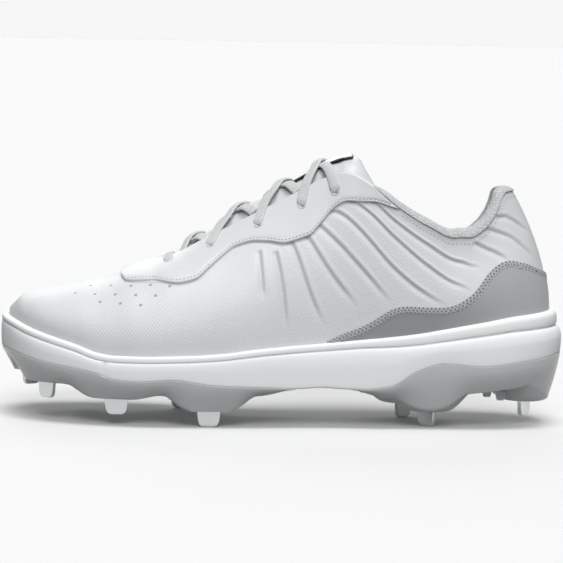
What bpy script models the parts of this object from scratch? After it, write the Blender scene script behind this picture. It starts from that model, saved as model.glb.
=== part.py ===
"""Baseball cleat for the left foot, standing on its studs: a hollow upper on a cupped midsole, two
moulded plates and nine metal studs. Metres; +X is the toe, +Y the outer side of the foot, +Z up."""

import math

import bmesh
import bpy
import numpy as np
from mathutils import Vector
from mathutils.bvhtree import BVHTree

# The last: the foot form that the upper and the sole both follow.
LAST_LENGTH = 0.284
BALL_WIDTH = 0.098
HEEL_RISE = 0.0612
INSTEP_RISE = 0.0865
HEEL_LEAN = 0.0196
LEAN_POWER = 1.8
LEAN_SHARE = 0.30

# Heights of the sole above the floor.
RIM_HEIGHT = 0.0614
PLATE_LINE_HEIGHT = 0.0380
UNDERSIDE_HEIGHT = 0.0215
STUD_SEAT_HEIGHT = 0.0085

# Walls and clearances.
UPPER_WALL = 0.0020
CLEARANCE = 0.0003
OVERLAY_GAP = 0.0005
OVERLAY_WALL = 0.0009
TONGUE_WALL = 0.0045
TONGUE_GAP = 0.0012
CUP_DEPTH = 0.0050
INSOLE_THICKNESS = 0.0040
PLATE_WALL = 0.0025

# The throat, the collar and the lace.
THROAT_FRONT_SHARE = 0.722
THROAT_ROUND_SHARE = 0.045
EYESTAY_NOSE_SHARE = 0.024
EYELET_INSET = 0.0075
LACE_WIDTH = 0.0050
LACE_THICKNESS = 0.0026
LACE_GAP = 0.0016
ROLL_DEPTH = 0.0150
ROLL_THICKNESS = 0.0052
ROLL_LIP = 0.0024

# Studs: flat metal blades in moulded bosses.
STUD_WIDTH = 0.0125
STUD_TIP_WIDTH = 0.0104
STUD_THICKNESS = 0.0027
BOSS_RADIUS = 0.0125
SIDE_SHARE = 0.4
LUG_WIDTH = 0.0056
LUG_HEIGHT = 0.0030

# Counts of columns and rows.
COLUMNS_BEHIND_THROAT = 23
COLUMNS_ROUND_THROAT = 5
COLUMNS_AHEAD = 13
SECTION_STEPS = 7
PATCH_ROWS = 5
PLATE_ROWS = 9
LACE_STEPS = 7
LACE_SIDES = 6

# Plan of the last, heel to toe. along is a share of LAST_LENGTH, outer and inner of BALL_WIDTH.
PLAN_COLUMNS = ("along", "outer", "inner")
PLAN = (
    (0.000, 0.000, 0.000),
    (0.010, 0.130, 0.130),
    (0.030, 0.210, 0.213),
    (0.080, 0.298, 0.306),
    (0.150, 0.338, 0.347),
    (0.250, 0.352, 0.350),
    (0.350, 0.359, 0.318),
    (0.450, 0.390, 0.300),
    (0.550, 0.444, 0.322),
    (0.650, 0.490, 0.390),
    (0.720, 0.500, 0.454),
    (0.800, 0.470, 0.490),
    (0.870, 0.403, 0.470),
    (0.930, 0.296, 0.410),
    (0.970, 0.160, 0.318),
    (0.990, 0.044, 0.220),
    (1.000, -0.082, 0.082),
)

# Side lines of the sole. rim is a share of RIM_HEIGHT, plate of PLATE_LINE_HEIGHT, and under of
# UNDERSIDE_HEIGHT; band, lip and bulge are shares of CUP_DEPTH: the height of the rim's band, how
# far it stands out from the last, and how far the side below it does.
SOLE_COLUMNS = ("along", "rim", "plate", "under", "band", "lip", "bulge")
SOLE = (
    (0.000, 1.000, 1.040, 1.280, 1.60, 1.00, 1.50),
    (0.060, 0.969, 0.942, 1.020, 1.50, 0.88, 1.30),
    (0.130, 0.910, 0.880, 0.900, 1.36, 0.76, 1.10),
    (0.195, 0.853, 0.913, 0.800, 1.24, 0.70, 1.00),
    (0.244, 0.811, 0.805, 0.740, 1.14, 0.66, 0.95),
    (0.295, 0.779, 0.584, 0.730, 1.00, 0.62, 0.90),
    (0.347, 0.753, 0.545, 0.880, 0.84, 0.58, 0.84),
    (0.420, 0.719, 0.560, 0.990, 0.76, 0.54, 0.76),
    (0.467, 0.699, 0.550, 0.930, 0.72, 0.52, 0.70),
    (0.530, 0.670, 0.565, 0.770, 0.70, 0.52, 0.66),
    (0.607, 0.627, 0.585, 0.750, 0.68, 0.52, 0.64),
    (0.688, 0.607, 0.660, 0.760, 0.68, 0.52, 0.64),
    (0.750, 0.600, 0.630, 0.790, 0.68, 0.52, 0.64),
    (0.790, 0.600, 0.645, 0.800, 0.68, 0.52, 0.64),
    (0.820, 0.616, 0.715, 0.830, 0.68, 0.54, 0.66),
    (0.865, 0.683, 0.780, 0.900, 0.70, 0.56, 0.70),
    (0.910, 0.738, 0.822, 1.020, 0.70, 0.60, 0.76),
    (0.950, 0.790, 0.885, 1.170, 0.68, 0.68, 0.82),
    (0.980, 0.838, 0.935, 1.330, 0.64, 0.76, 0.84),
    (1.000, 0.871, 0.976, 1.480, 0.60, 0.80, 0.84),
)

# The upper's edge: the collar and throat, and past the throat's front the ridge of the vamp.
# of_heel and of_instep are the shares of HEEL_RISE and INSTEP_RISE above the rim that add up to
# its height, and gap its distance from the middle as a share of BALL_WIDTH.
EDGE_COLUMNS = ("along", "of_heel", "of_instep", "gap")
EDGE = (
    (0.000, 1.000, 0.000, 0.000),
    (0.010, 1.006, 0.000, 0.078),
    (0.027, 1.010, 0.000, 0.128),
    (0.045, 0.985, 0.000, 0.168),
    (0.063, 0.915, 0.000, 0.197),
    (0.088, 0.825, 0.000, 0.228),
    (0.111, 0.763, 0.000, 0.250),
    (0.139, 0.725, 0.000, 0.270),
    (0.168, 0.745, 0.000, 0.286),
    (0.230, 0.600, 0.212, 0.304),
    (0.291, 0.300, 0.572, 0.304),
    (0.334, 0.100, 0.847, 0.283),
    (0.362, 0.000, 0.978, 0.258),
    (0.385, 0.000, 1.000, 0.235),
    (0.415, 0.000, 0.975, 0.206),
    (0.480, 0.000, 0.879, 0.176),
    (0.536, 0.000, 0.798, 0.158),
    (0.622, 0.000, 0.680, 0.133),
    (0.698, 0.000, 0.556, 0.105),
    (0.722, 0.000, 0.535, 0.090),
    (0.758, 0.000, 0.504, 0.000),
    (0.831, 0.000, 0.393, 0.000),
    (0.905, 0.000, 0.268, 0.000),
    (0.957, 0.000, 0.183, 0.000),
    (0.979, 0.000, 0.126, 0.000),
    (0.990, 0.000, 0.078, 0.000),
    (1.000, 0.000, 0.025, 0.000),
)

# Fullness of each half section: the wall's handle rises by a share of the section's height and
# leans out by a share of BALL_WIDTH; the edge's handle runs out by a share of the section's width
# and drops by a share of its height.
FULLNESS_COLUMNS = ("along", "rise", "bulge", "run", "drop")
FULLNESS = (
    (0.000, 0.40, 0.000, 0.00, 0.30),
    (0.080, 0.42, 0.012, 0.02, 0.34),
    (0.160, 0.45, 0.022, 0.06, 0.36),
    (0.280, 0.47, 0.016, 0.20, 0.26),
    (0.385, 0.50, 0.004, 0.44, 0.16),
    (0.480, 0.52, 0.006, 0.46, 0.14),
    (0.600, 0.55, 0.014, 0.50, 0.16),
    (0.722, 0.60, 0.024, 0.58, 0.03),
    (0.780, 0.62, 0.030, 0.62, 0.00),
    (0.900, 0.62, 0.034, 0.64, 0.00),
    (0.970, 0.60, 0.020, 0.64, 0.00),
    (1.000, 0.60, 0.000, 0.60, 0.00),
)

# The middle line of the upper drifts to the inner side at the toe, as a share of BALL_WIDTH.
MIDDLE_COLUMNS = ("along", "drift")
MIDDLE = ((0.0, 0.0), (0.50, 0.0), (0.722, -0.012), (0.870, -0.045), (1.0, -0.082))

# Lower edge of the eyestay and top edge of the heel panel, as shares of the section's height.
EYESTAY_COLUMNS = ("along", "level")
EYESTAY = (
    (0.280, 1.000),
    (0.315, 0.930),
    (0.357, 0.849),
    (0.384, 0.827),
    (0.407, 0.790),
    (0.425, 0.736),
    (0.446, 0.690),
    (0.484, 0.700),
    (0.523, 0.770),
    (0.557, 0.823),
    (0.580, 0.834),
    (0.603, 0.800),
    (0.626, 0.746),
    (0.649, 0.697),
    (0.671, 0.711),
    (0.719, 0.806),
    (0.777, 0.885),
    (0.784, 0.925),
    (0.788, 0.965),
    (0.789, 1.000),
)
PANEL_COLUMNS = ("along", "level")
PANEL = (
    (0.000, 0.320),
    (0.028, 0.415),
    (0.058, 0.520),
    (0.086, 0.588),
    (0.111, 0.563),
    (0.130, 0.445),
    (0.146, 0.352),
    (0.169, 0.275),
    (0.200, 0.241),
    (0.263, 0.252),
    (0.288, 0.228),
    (0.315, 0.153),
    (0.344, 0.090),
    (0.387, 0.045),
    (0.410, 0.012),
)

# The tongue's crown above the throat's edge as a share of INSTEP_RISE, and the share of the
# section where its side hides under the upper.
TONGUE_COLUMNS = ("along", "crown", "side")
TONGUE = (
    (0.385, 0.079, 0.74),
    (0.440, 0.081, 0.72),
    (0.480, 0.080, 0.72),
    (0.536, 0.086, 0.72),
    (0.600, 0.058, 0.72),
    (0.647, 0.036, 0.74),
    (0.698, -0.014, 0.76),
    (0.722, -0.036, 0.78),
    (0.748, -0.040, 0.80),
)
TONGUE_TUCK_SHARE = 0.93
TONGUE_FREE_LENGTH = 0.0130
TONGUE_CURL_SHARE = 0.30
TONGUE_NARROW_SHARE = 0.22

# Stations of the eyelets along the throat, front to top.
EYELETS = (0.700, 0.622, 0.536, 0.458, 0.398)

# Studs: name, along and across as shares of LAST_LENGTH and BALL_WIDTH, the share of
# STUD_SEAT_HEIGHT between the tip and the floor, and the angle of the blade to the X axis.
STUDS = (
    ("stud_toe_medial", 0.962, -0.225, 1.62, 45.0),
    ("stud_toe_lateral", 0.920, 0.215, 1.40, -48.0),
    ("stud_mid_medial", 0.862, -0.370, 0.95, 30.0),
    ("stud_mid_lateral", 0.790, 0.385, 0.66, 0.0),
    ("stud_ball_medial", 0.680, -0.395, 0.00, 0.0),
    ("stud_ball_lateral", 0.622, 0.385, 0.00, 0.0),
    ("stud_heel_medial", 0.262, -0.180, 0.00, 50.0),
    ("stud_heel_lateral", 0.222, 0.185, 0.00, -48.0),
    ("stud_heel_rear", 0.040, 0.000, 0.52, 62.0),
)
PLATES = (("forefoot_plate", 0.467, 1.0), ("heel_plate", 0.347, 0.0))
PLATE_FADE_SHARE = 0.06

# Small moulded lugs between the studs: along and across, as for the studs.
LUGS = (
    (0.850, 0.000),
    (0.770, -0.060),
    (0.700, 0.020),
    (0.620, -0.080),
    (0.112, -0.140),
    (0.112, 0.140),
    (0.088, -0.170),
    (0.088, 0.170),
)

WHITE = ("leather_white", (0.78, 0.80, 0.80), 0.45, 0.0)
SMOOTH = ("leather_smooth", (0.80, 0.82, 0.82), 0.38, 0.0)
GREY = ("panel_grey", (0.32, 0.33, 0.33), 0.55, 0.0)
LINING = ("lining_grey", (0.50, 0.51, 0.51), 0.85, 0.0)
FOAM = ("foam_white", (0.78, 0.80, 0.80), 0.50, 0.0)
PLATE = ("plate_grey", (0.40, 0.41, 0.41), 0.45, 0.0)
STEEL = ("steel", (0.62, 0.63, 0.64), 0.22, 1.0)
CORD = ("lace_white", (0.80, 0.82, 0.82), 0.75, 0.0)
BLACK = ("badge_black", (0.02, 0.02, 0.02), 0.50, 0.0)


def angle_of(along):
    """Stations as an angle, 0 at the heel and pi at the toe, so that both ends come out round."""
    return np.arccos(np.clip(1 - 2 * np.asarray(along, float), -1, 1))


def along_of(angle):
    return 0.5 - 0.5 * np.cos(angle)


def smooth(xs, ys, x):
    """A smooth curve through the points that never passes a high or low point of the table."""
    steps = np.diff(xs)
    rises = np.diff(ys) / steps
    before, after = rises[:-1], rises[1:]
    heavy, light = 2 * steps[1:] + steps[:-1], steps[1:] + 2 * steps[:-1]
    same = before * after > 0
    safe_before, safe_after = np.where(same, before, 1), np.where(same, after, 1)
    inner = np.where(same, (heavy + light) / (heavy / safe_before + light / safe_after), 0)
    slopes = np.concatenate([[rises[0]], inner, [rises[-1]]])
    i = np.clip(np.searchsorted(xs, x, side="right") - 1, 0, len(steps) - 1)
    u = np.clip((x - xs[i]) / steps[i], 0, 1)
    ease = u * u * (3 - 2 * u)
    lead, trail = u * (1 - u) ** 2, -u * u * (1 - u)
    return ys[i] * (1 - ease) + ys[i + 1] * ease + steps[i] * (lead * slopes[i] + trail * slopes[i + 1])


def column(rows, names, name, along):
    """One column of a table at any station, mirrored past both ends so that they come out flat."""
    table = np.array([[row[names.index("along")], row[names.index(name)]] for row in rows], float)
    angles, values = angle_of(table[:, 0]), table[:, 1]
    if table[0, 0] == 0:
        sign = -1 if name in ("outer", "inner", "gap") else 1
        angles = np.concatenate([[-angles[1]], angles])
        values = np.concatenate([[sign * values[1]], values])
    if table[-1, 0] == 1:
        end = 2 * values[-1] if name in ("outer", "inner") else 0
        values = np.concatenate([values, [end - values[-2] if end else values[-2]]])
        angles = np.concatenate([angles, [2 * math.pi - angles[-2]]])
    return smooth(angles, values, angle_of(along))


def plan_y(along, side):
    """Half width of the last at a station; side is 1 for the outer and -1 for the inner side."""
    outer = column(PLAN, PLAN_COLUMNS, "outer", along)
    inner = column(PLAN, PLAN_COLUMNS, "inner", along)
    return BALL_WIDTH * np.where(side > 0, outer, -inner)


def sole_height(name, along):
    whole = {"rim": RIM_HEIGHT, "plate": PLATE_LINE_HEIGHT, "under": UNDERSIDE_HEIGHT}
    return whole[name] * column(SOLE, SOLE_COLUMNS, name, along)


def sole_depth(name, along):
    return CUP_DEPTH * column(SOLE, SOLE_COLUMNS, name, along)


def edge_height(along):
    """Height of the upper's edge or ridge above the rim."""
    of_heel = column(EDGE, EDGE_COLUMNS, "of_heel", along)
    of_instep = column(EDGE, EDGE_COLUMNS, "of_instep", along)
    return of_heel * HEEL_RISE + of_instep * INSTEP_RISE


def edge_y(along, side):
    """The edge's place across: the throat closes in a half round at its front."""
    gap = column(EDGE, EDGE_COLUMNS, "gap", along)
    close = np.clip((along - THROAT_FRONT_SHARE + THROAT_ROUND_SHARE) / THROAT_ROUND_SHARE, 0, 1)
    gap = gap * np.sqrt(1 - close**2)
    drift = column(MIDDLE, MIDDLE_COLUMNS, "drift", along)
    return BALL_WIDTH * (drift + side * gap)


def upper_point(along, side, share):
    """A point of the upper's outer face. share is 0 at the rim and 1 at the edge, and below 0 it
    goes down the skirt inside the midsole's cup."""
    along, side, share = (np.asarray(v, float) for v in (along, side, share))
    foot_y, top_y = plan_y(along, side), edge_y(along, side)
    rim, height = sole_height("rim", along), edge_height(along)
    fullness = {name: column(FULLNESS, FULLNESS_COLUMNS, name, along) for name in FULLNESS_COLUMNS[1:]}
    width = foot_y - top_y
    y = (foot_y, foot_y + side * BALL_WIDTH * fullness["bulge"], top_y + fullness["run"] * width, top_y)
    z = (0, fullness["rise"] * height, (1 - fullness["drop"]) * height, height)
    v = np.clip(share, 0, 1)
    weights = ((1 - v) ** 3, 3 * v * (1 - v) ** 2, 3 * v * v * (1 - v), v**3)
    across = sum(w * c for w, c in zip(weights, y))
    up = sum(w * c for w, c in zip(weights, z))
    lean = HEEL_LEAN * (np.maximum(up, 0) / HEEL_RISE) ** LEAN_POWER
    lean = lean * np.clip(1 - along / LEAN_SHARE, 0, 1) ** 2
    down = np.minimum(share, 0) * CUP_DEPTH
    return np.stack([LAST_LENGTH * along + lean, across, rim + up + down], axis=-1)


def upper_normal(along, side, share):
    """Outward direction of the upper's face, from points a little to each side."""
    angle = np.clip(angle_of(along), 0.002, math.pi - 0.002)
    share = np.clip(share, 0.004, 0.996)
    ahead = upper_point(along_of(angle + 0.002), side, share)
    behind = upper_point(along_of(angle - 0.002), side, share)
    above = upper_point(along_of(angle), side, share + 0.004)
    below = upper_point(along_of(angle), side, share - 0.004)
    normal = np.cross(ahead - behind, above - below) * -np.asarray(side, float)[..., None]
    return normal / np.linalg.norm(normal, axis=-1, keepdims=True)


def off_upper(along, side, share, distance):
    return upper_point(along, side, share) + upper_normal(along, side, share) * distance


def share_at_level(along, side, level):
    """The share of a section at which it reaches a level, itself a share of the section's height."""
    shares = np.linspace(0, 1, 101)
    heights = upper_point(np.full(101, along), np.full(101, side), shares)[:, 2]
    wanted = heights[0] + level * (heights[-1] - heights[0])
    return float(np.interp(wanted, heights, shares))


def share_below_edge(along, side, distance):
    """The share of a section that lies a distance below its edge, along the face."""
    shares = np.linspace(1, 0, 101)
    path = upper_point(np.full(101, along), np.full(101, side), shares)
    run = np.concatenate([[0], np.cumsum(np.linalg.norm(np.diff(path, axis=0), axis=1))])
    return float(np.interp(distance, run, shares))


def stations():
    """Stations of the half loop, heel to toe, closer together round the front of the throat."""
    start, front = angle_of((THROAT_FRONT_SHARE - 2 * THROAT_ROUND_SHARE, THROAT_FRONT_SHARE))
    behind = np.linspace(0, start, COLUMNS_BEHIND_THROAT + 1)
    throat = np.linspace(start, front, COLUMNS_ROUND_THROAT + 1)[1:]
    ahead = np.linspace(front, math.pi, COLUMNS_AHEAD + 1)[1:]
    return along_of(np.concatenate([behind, throat, ahead]))


def sole_stations():
    """The same stations with one at the end of each plate, which the midsole and plates share."""
    return np.unique(np.concatenate([stations(), [end for _, end, _ in PLATES]]))


def loop(along):
    """Station and side of each column of the whole loop: heel, outer side, toe, inner side."""
    back = along[-2:0:-1]
    return np.concatenate([along, back]), np.concatenate([np.ones(len(along)), -np.ones(len(back))])


def ring(along, side, out, height):
    """A loop that stands out from the last's plan by a distance, at a height."""
    angle = angle_of(along)
    step = 0.002
    turn = np.where(side > 0, angle, 2 * math.pi - angle)

    def plan(at):
        at = np.mod(at, 2 * math.pi)
        outer = at <= math.pi
        station = along_of(np.where(outer, at, 2 * math.pi - at))
        return np.stack([LAST_LENGTH * station, plan_y(station, np.where(outer, 1, -1))], axis=-1)

    tangent = plan(turn + step) - plan(turn - step)
    normal = np.stack([-tangent[:, 1], tangent[:, 0]], axis=-1)
    normal /= np.linalg.norm(normal, axis=1, keepdims=True)
    flat = plan(turn) + normal * np.broadcast_to(out, along.shape)[:, None]
    return np.column_stack([flat, np.broadcast_to(height, along.shape)])


def material(finish):
    name, colour, roughness, metallic = finish
    found = bpy.data.materials.get(name)
    if found:
        return found
    made = bpy.data.materials.new(name)
    made.use_nodes = True
    shader = made.node_tree.nodes["Principled BSDF"]
    shader.inputs["Base Color"].default_value = (*colour, 1)
    shader.inputs["Roughness"].default_value = roughness
    shader.inputs["Metallic"].default_value = metallic
    return made


def add_object(name, points, faces, finish, root):
    """A named object from points and faces, with doubled points joined and faces turned out."""
    mesh = bpy.data.meshes.new(name)
    mesh.from_pydata([tuple(point) for point in points], [], faces)
    shape = bmesh.new()
    shape.from_mesh(mesh)
    bmesh.ops.remove_doubles(shape, verts=shape.verts, dist=1e-6)
    bmesh.ops.dissolve_degenerate(shape, edges=shape.edges, dist=1e-6)
    bmesh.ops.recalc_face_normals(shape, faces=shape.faces)
    shape.to_mesh(mesh)
    shape.free()
    mesh.shade_smooth()
    mesh.set_sharp_from_angle(angle=math.radians(40))
    mesh.materials.append(material(finish))
    made = bpy.data.objects.new(name, mesh)
    made.parent = root
    bpy.context.scene.collection.objects.link(made)
    return made


def grid_faces(rows, columns, first=0, closed=False):
    """Quads of a grid whose points run row by row, joined round if closed."""
    faces = []
    for row in range(rows - 1):
        for col in range(columns if closed else columns - 1):
            a, b = first + row * columns + col, first + row * columns + (col + 1) % columns
            faces.append((a, b, b + columns, a + columns))
    return faces


def slab(name, front, back, finish, root, closed_tip=False):
    """A closed solid between two grids of the same shape, joined along their borders, apart from
    the last column where both sides of the grid meet in a closed tip."""
    rows, columns = front.shape[:2]
    size = rows * columns
    faces = grid_faces(rows, columns) + [f[::-1] for f in grid_faces(rows, columns, size)]
    edges = [(r + c, r + c + 1) for c in range(columns - 1) for r in (0, size - columns)]
    ends = (0,) if closed_tip else (0, columns - 1)
    edges += [(c + r * columns, c + (r + 1) * columns) for r in range(rows - 1) for c in ends]
    faces += [(b, a, a + size, b + size) for a, b in edges]
    points = np.concatenate([front.reshape(-1, 3), back.reshape(-1, 3)])
    return add_object(name, points, faces, finish, root)


def ladder(count, first=0):
    """Faces across a loop of 2 * (count - 1) points, from each outer point to its inner twin."""
    whole = 2 * (count - 1)
    rungs = [(first + i, first + (whole - i) % whole) for i in range(count)]
    faces = []
    for (a, b), (c, d) in zip(rungs, rungs[1:]):
        faces.append(tuple(dict.fromkeys((a, c, d, b))))
    return faces


def stacked(name, rings, half, finish, root):
    """A closed solid through a stack of loops, with flat ladders over the first and the last."""
    points = np.concatenate(rings)
    width = len(rings[0])
    faces = grid_faces(len(rings), width, closed=True)
    faces += ladder(half) + [f[::-1] for f in ladder(half, (len(rings) - 1) * width)]
    return add_object(name, points, faces, finish, root)


def bed_height(along):
    return sole_height("rim", along) - CUP_DEPTH


def plate_cover(along):
    """How much of the midsole's side the plates cover: 1 along a plate and 0 in the bare arch."""
    _, front_end, _ = PLATES[0]
    _, heel_end, _ = PLATES[1]
    front = np.clip((along - front_end) / PLATE_FADE_SHARE, 0, 1)
    heel = np.clip((heel_end - along) / PLATE_FADE_SHARE, 0, 1)
    return np.sqrt(np.maximum(front, heel))


def under_height(along):
    return sole_height("under", along)


def side_line(along):
    """Height of the line between the midsole and a plate, never under the sole's bottom corner."""
    return np.maximum(sole_height("plate", along), under_height(along) + CLEARANCE)


def corner_out(along):
    """How far the bottom corner of the sole stands out from the last: a little inside it."""
    return sole_depth("bulge", along) - 1.25 * CUP_DEPTH


def join_ridge(grid, ahead, partner):
    """Brings the last row of a grid together over the vamp, where both sides share one ridge."""
    grid[-1, ahead] = 0.5 * (grid[-1] + grid[-1, partner])[ahead]


def make_upper(root):
    """One hollow shell, skirt to edge, its two sides meeting on the vamp's ridge."""
    half = stations()
    along, side = loop(half)
    width = len(along)
    partner = (width - np.arange(width)) % width
    shares = np.concatenate([[-1.0], np.linspace(0, 1, SECTION_STEPS + 1)])
    grids = []
    for wall in (0.0, -UPPER_WALL):
        grid = np.array([off_upper(along, side, np.full(width, s), wall) for s in shares])
        grid[0, :, 2] = bed_height(along) + 3 * CLEARANCE
        grids.append(grid)
    ahead = along > THROAT_FRONT_SHARE - 1e-6
    for grid in grids:
        join_ridge(grid, ahead, partner)
    rows, size = len(shares), len(shares) * width
    faces = grid_faces(rows, width, closed=True)
    faces += [f[::-1] for f in grid_faces(rows, width, size, closed=True)]
    for row in (0, rows - 1):
        for col in range(width):
            after = (col + 1) % width
            if row == 0 or not (ahead[col] and ahead[after]):
                a, b = row * width + col, row * width + after
                faces.append((b, a, a + size, b + size))
    points = np.concatenate([grid.reshape(-1, 3) for grid in grids])
    return add_object("upper", points, faces, WHITE, root)


def patch_grids(along, side, low, high):
    """The outer and inner faces of a patch of the upper, a clearance off it."""
    near, far = [], []
    for step in np.linspace(0, 1, PATCH_ROWS):
        share = low + (high - low) * step
        near.append(off_upper(along, side, share, OVERLAY_GAP))
        far.append(off_upper(along, side, share, OVERLAY_GAP + OVERLAY_WALL))
    return np.array(far), np.array(near)


def make_eyestay(root):
    """The facing round the throat: up one side, across the vamp in front, down the other side."""
    half = stations()
    last = EYESTAY[-1][0]
    half = half[(half > EYESTAY[0][0] + 0.01) & (half < last - EYESTAY_NOSE_SHARE)]
    nose = last - EYESTAY_NOSE_SHARE * np.linspace(1, 0, 8) ** 2
    half = np.concatenate([[EYESTAY[0][0] + 0.002], half, nose])
    along = np.concatenate([half, half[-2::-1]])
    side = np.concatenate([np.ones(len(half)), -np.ones(len(half) - 1)])
    level = column(EYESTAY, EYESTAY_COLUMNS, "level", along)
    low = np.array([share_at_level(a, s, v) for a, s, v in zip(along, side, level)])
    low[len(half) - 1] = 1.0
    grids = patch_grids(along, side, low, np.ones(len(along)))
    ahead = along > THROAT_FRONT_SHARE - 1e-6
    for grid in grids:
        join_ridge(grid, ahead, np.arange(len(along))[::-1])
        grid[:, len(half) - 1] = grid[-1, len(half) - 1]
    rows, columns = grids[0].shape[:2]
    size = rows * columns
    faces = grid_faces(rows, columns) + [f[::-1] for f in grid_faces(rows, columns, size)]
    top = size - columns
    for col in range(columns - 1):
        faces.append((col + 1, col, col + size, col + 1 + size))
        if not (ahead[col] and ahead[col + 1]):
            faces.append((top + col, top + col + 1, top + col + 1 + size, top + col + size))
    for row in range(rows - 1):
        for a in (row * columns, (row + 1) * columns - 1):
            faces.append((a, a + columns, a + columns + size, a + size))
    points = np.concatenate([grid.reshape(-1, 3) for grid in grids])
    return add_object("eyestay", points, faces, SMOOTH, root)


def make_heel_panel(root):
    """The grey panel round the heel, from just above the rim to its waved top edge."""
    half = stations()
    half = half[half < PANEL[-1][0]]
    along = np.concatenate([half[::-1], half[1:]])
    side = np.concatenate([np.ones(len(half)), -np.ones(len(half) - 1)])
    level = column(PANEL, PANEL_COLUMNS, "level", along)
    high = np.array([share_at_level(a, s, v) for a, s, v in zip(along, side, level)])
    foot = CLEARANCE / INSTEP_RISE
    far, near = patch_grids(along, side, np.full(len(along), foot), high)
    return slab("heel_panel", far, near, GREY, root)


def make_collar_lining(root):
    """The padded roll inside the collar, its lip over the upper's edge."""
    half = stations()
    half = half[half < EYESTAY[0][0] + 0.05]
    along = np.concatenate([half[::-1], half[1:]])
    side = np.concatenate([np.ones(len(half)), -np.ones(len(half) - 1)])
    inside = -UPPER_WALL - 2 * CLEARANCE
    back = inside - ROLL_THICKNESS
    profile = (
        (inside, -ROLL_DEPTH),
        (inside, -0.5 * ROLL_DEPTH),
        (inside, CLEARANCE),
        (inside + 0.3 * UPPER_WALL, 2 * CLEARANCE),
        (-0.15 * UPPER_WALL, 2 * CLEARANCE),
        (-0.35 * UPPER_WALL, 0.8 * ROLL_LIP),
        (0.5 * (inside + back), ROLL_LIP),
        (back + 0.2 * ROLL_THICKNESS, 0.4 * ROLL_LIP),
        (back, -0.25 * ROLL_DEPTH),
        (back + 0.15 * ROLL_THICKNESS, -0.65 * ROLL_DEPTH),
    )
    one = np.ones(len(along))
    edge = upper_point(along, side, one)
    below = upper_point(along, side, 0.94 * one)
    up = (edge - below) / np.linalg.norm(edge - below, axis=1, keepdims=True)
    out = upper_normal(along, side, one)
    loops = []
    for away, rise in profile:
        depth = np.minimum(rise, 0)
        share = np.array([share_below_edge(a, s, -depth) for a, s in zip(along, side)])
        base = upper_point(along, side, share)
        normal = upper_normal(along, side, share)
        loops.append(base + normal * away + up * max(rise, 0) if rise < 0 else edge + out * away + up * rise)
    tube = np.array(loops)
    points = tube.reshape(-1, 3)
    width = len(along)
    faces = grid_faces(len(profile), width)
    last = (len(profile) - 1) * width
    faces += [(last + c, last + c + 1, c + 1, c) for c in range(width - 1)]
    faces.append(tuple(r * width for r in range(len(profile))))
    faces.append(tuple(r * width + width - 1 for r in range(len(profile)))[::-1])
    return add_object("collar_lining", points, faces, LINING, root)


def arch(outer, outer_dir, inner, inner_dir, crown, steps):
    """Points over the throat from its outer to its inner side, leaving both along the upper and
    passing through the crown."""
    halves = []
    middle = np.array([0.5 * (outer[0] + inner[0]), 0.5 * (outer[1] + inner[1]), crown])
    for start, way in ((outer, outer_dir), (inner, inner_dir)):
        across = abs(start[1] - middle[1])
        rise = max(crown - start[2], 1e-5)
        reach = min(0.62 * across / max(abs(way[1]), 1e-6), 0.92 * rise / max(way[2], 1e-6))
        handle = start + way * reach
        flat = middle + np.array([0, 0.5 * (start[1] - middle[1]), 0])
        u = np.linspace(0, 1, steps + 1)[:, None]
        weights = (1 - u) ** 3, 3 * u * (1 - u) ** 2, 3 * u * u * (1 - u), u**3
        half = sum(weight * knot for weight, knot in zip(weights, (start, handle, flat, middle)))
        halves.append(half)
    return np.concatenate([halves[0], halves[1][-2::-1]])


def cover_row(along, side_share, crown, offset, steps, side_steps):
    """A row across the throat at a station: up the upper's face from side_share to the tuck, over
    the crown, and down the other side, a distance off the upper's outer face."""
    tuck = share_below_edge(along, 1, 0.0) if side_share >= 1 else min(TONGUE_TUCK_SHARE, 1)
    flanks, ends, ways = [], [], []
    for side in (1, -1):
        shares = np.linspace(side_share, tuck, side_steps + 1)
        flank = off_upper(np.full(len(shares), along), np.full(len(shares), side), shares, offset)
        way = flank[-1] - off_upper(along, side, tuck - 0.03, offset)
        flanks.append(flank)
        ends.append(flank[-1])
        ways.append(way / np.linalg.norm(way))
    middle = arch(ends[0], ways[0], ends[1], ways[1], crown, steps)
    return np.concatenate([flanks[0][:-1], middle, flanks[1][-2::-1]])


def crown_height(along):
    edge = sole_height("rim", along) + edge_height(along)
    return edge + INSTEP_RISE * column(TONGUE, TONGUE_COLUMNS, "crown", along)


def tongue_rows(offset, steps, side_steps):
    """Rows of the tongue from under the vamp to the throat's top, then its free end."""
    first, last = TONGUE[0][0], TONGUE[-1][0]
    inner = stations()
    inner = inner[(inner > first + 0.01) & (inner < last - 0.01)]
    rows = []
    for along in (last, *inner[::-1], first):
        side_share = float(column(TONGUE, TONGUE_COLUMNS, "side", along))
        rows.append(cover_row(along, side_share, float(crown_height(along)), offset, steps, side_steps))
    top, before = rows[-1], rows[-2]
    middle = top[len(top) // 2]
    slope = (top[len(top) // 2] - before[len(top) // 2])
    slope = slope / np.linalg.norm(slope)
    for share in (0.4, 0.75, 1.0):
        row = top.copy()
        row[:, 1] = middle[1] + (row[:, 1] - middle[1]) * (1 - TONGUE_NARROW_SHARE * share**2)
        row[:, 0] += slope[0] * TONGUE_FREE_LENGTH * share
        row[:, 2] += slope[2] * TONGUE_FREE_LENGTH * share * (1 - TONGUE_CURL_SHARE * share)
        rows.append(row)
    return np.array(rows)


def row_normals(grid):
    """Upward normals of a grid of points."""
    down = np.gradient(grid, axis=0)
    across = np.gradient(grid, axis=1)
    normal = np.cross(down, across)
    normal /= np.linalg.norm(normal, axis=2, keepdims=True)
    return normal * np.sign(normal[:, grid.shape[1] // 2, 2])[:, None, None]


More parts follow.
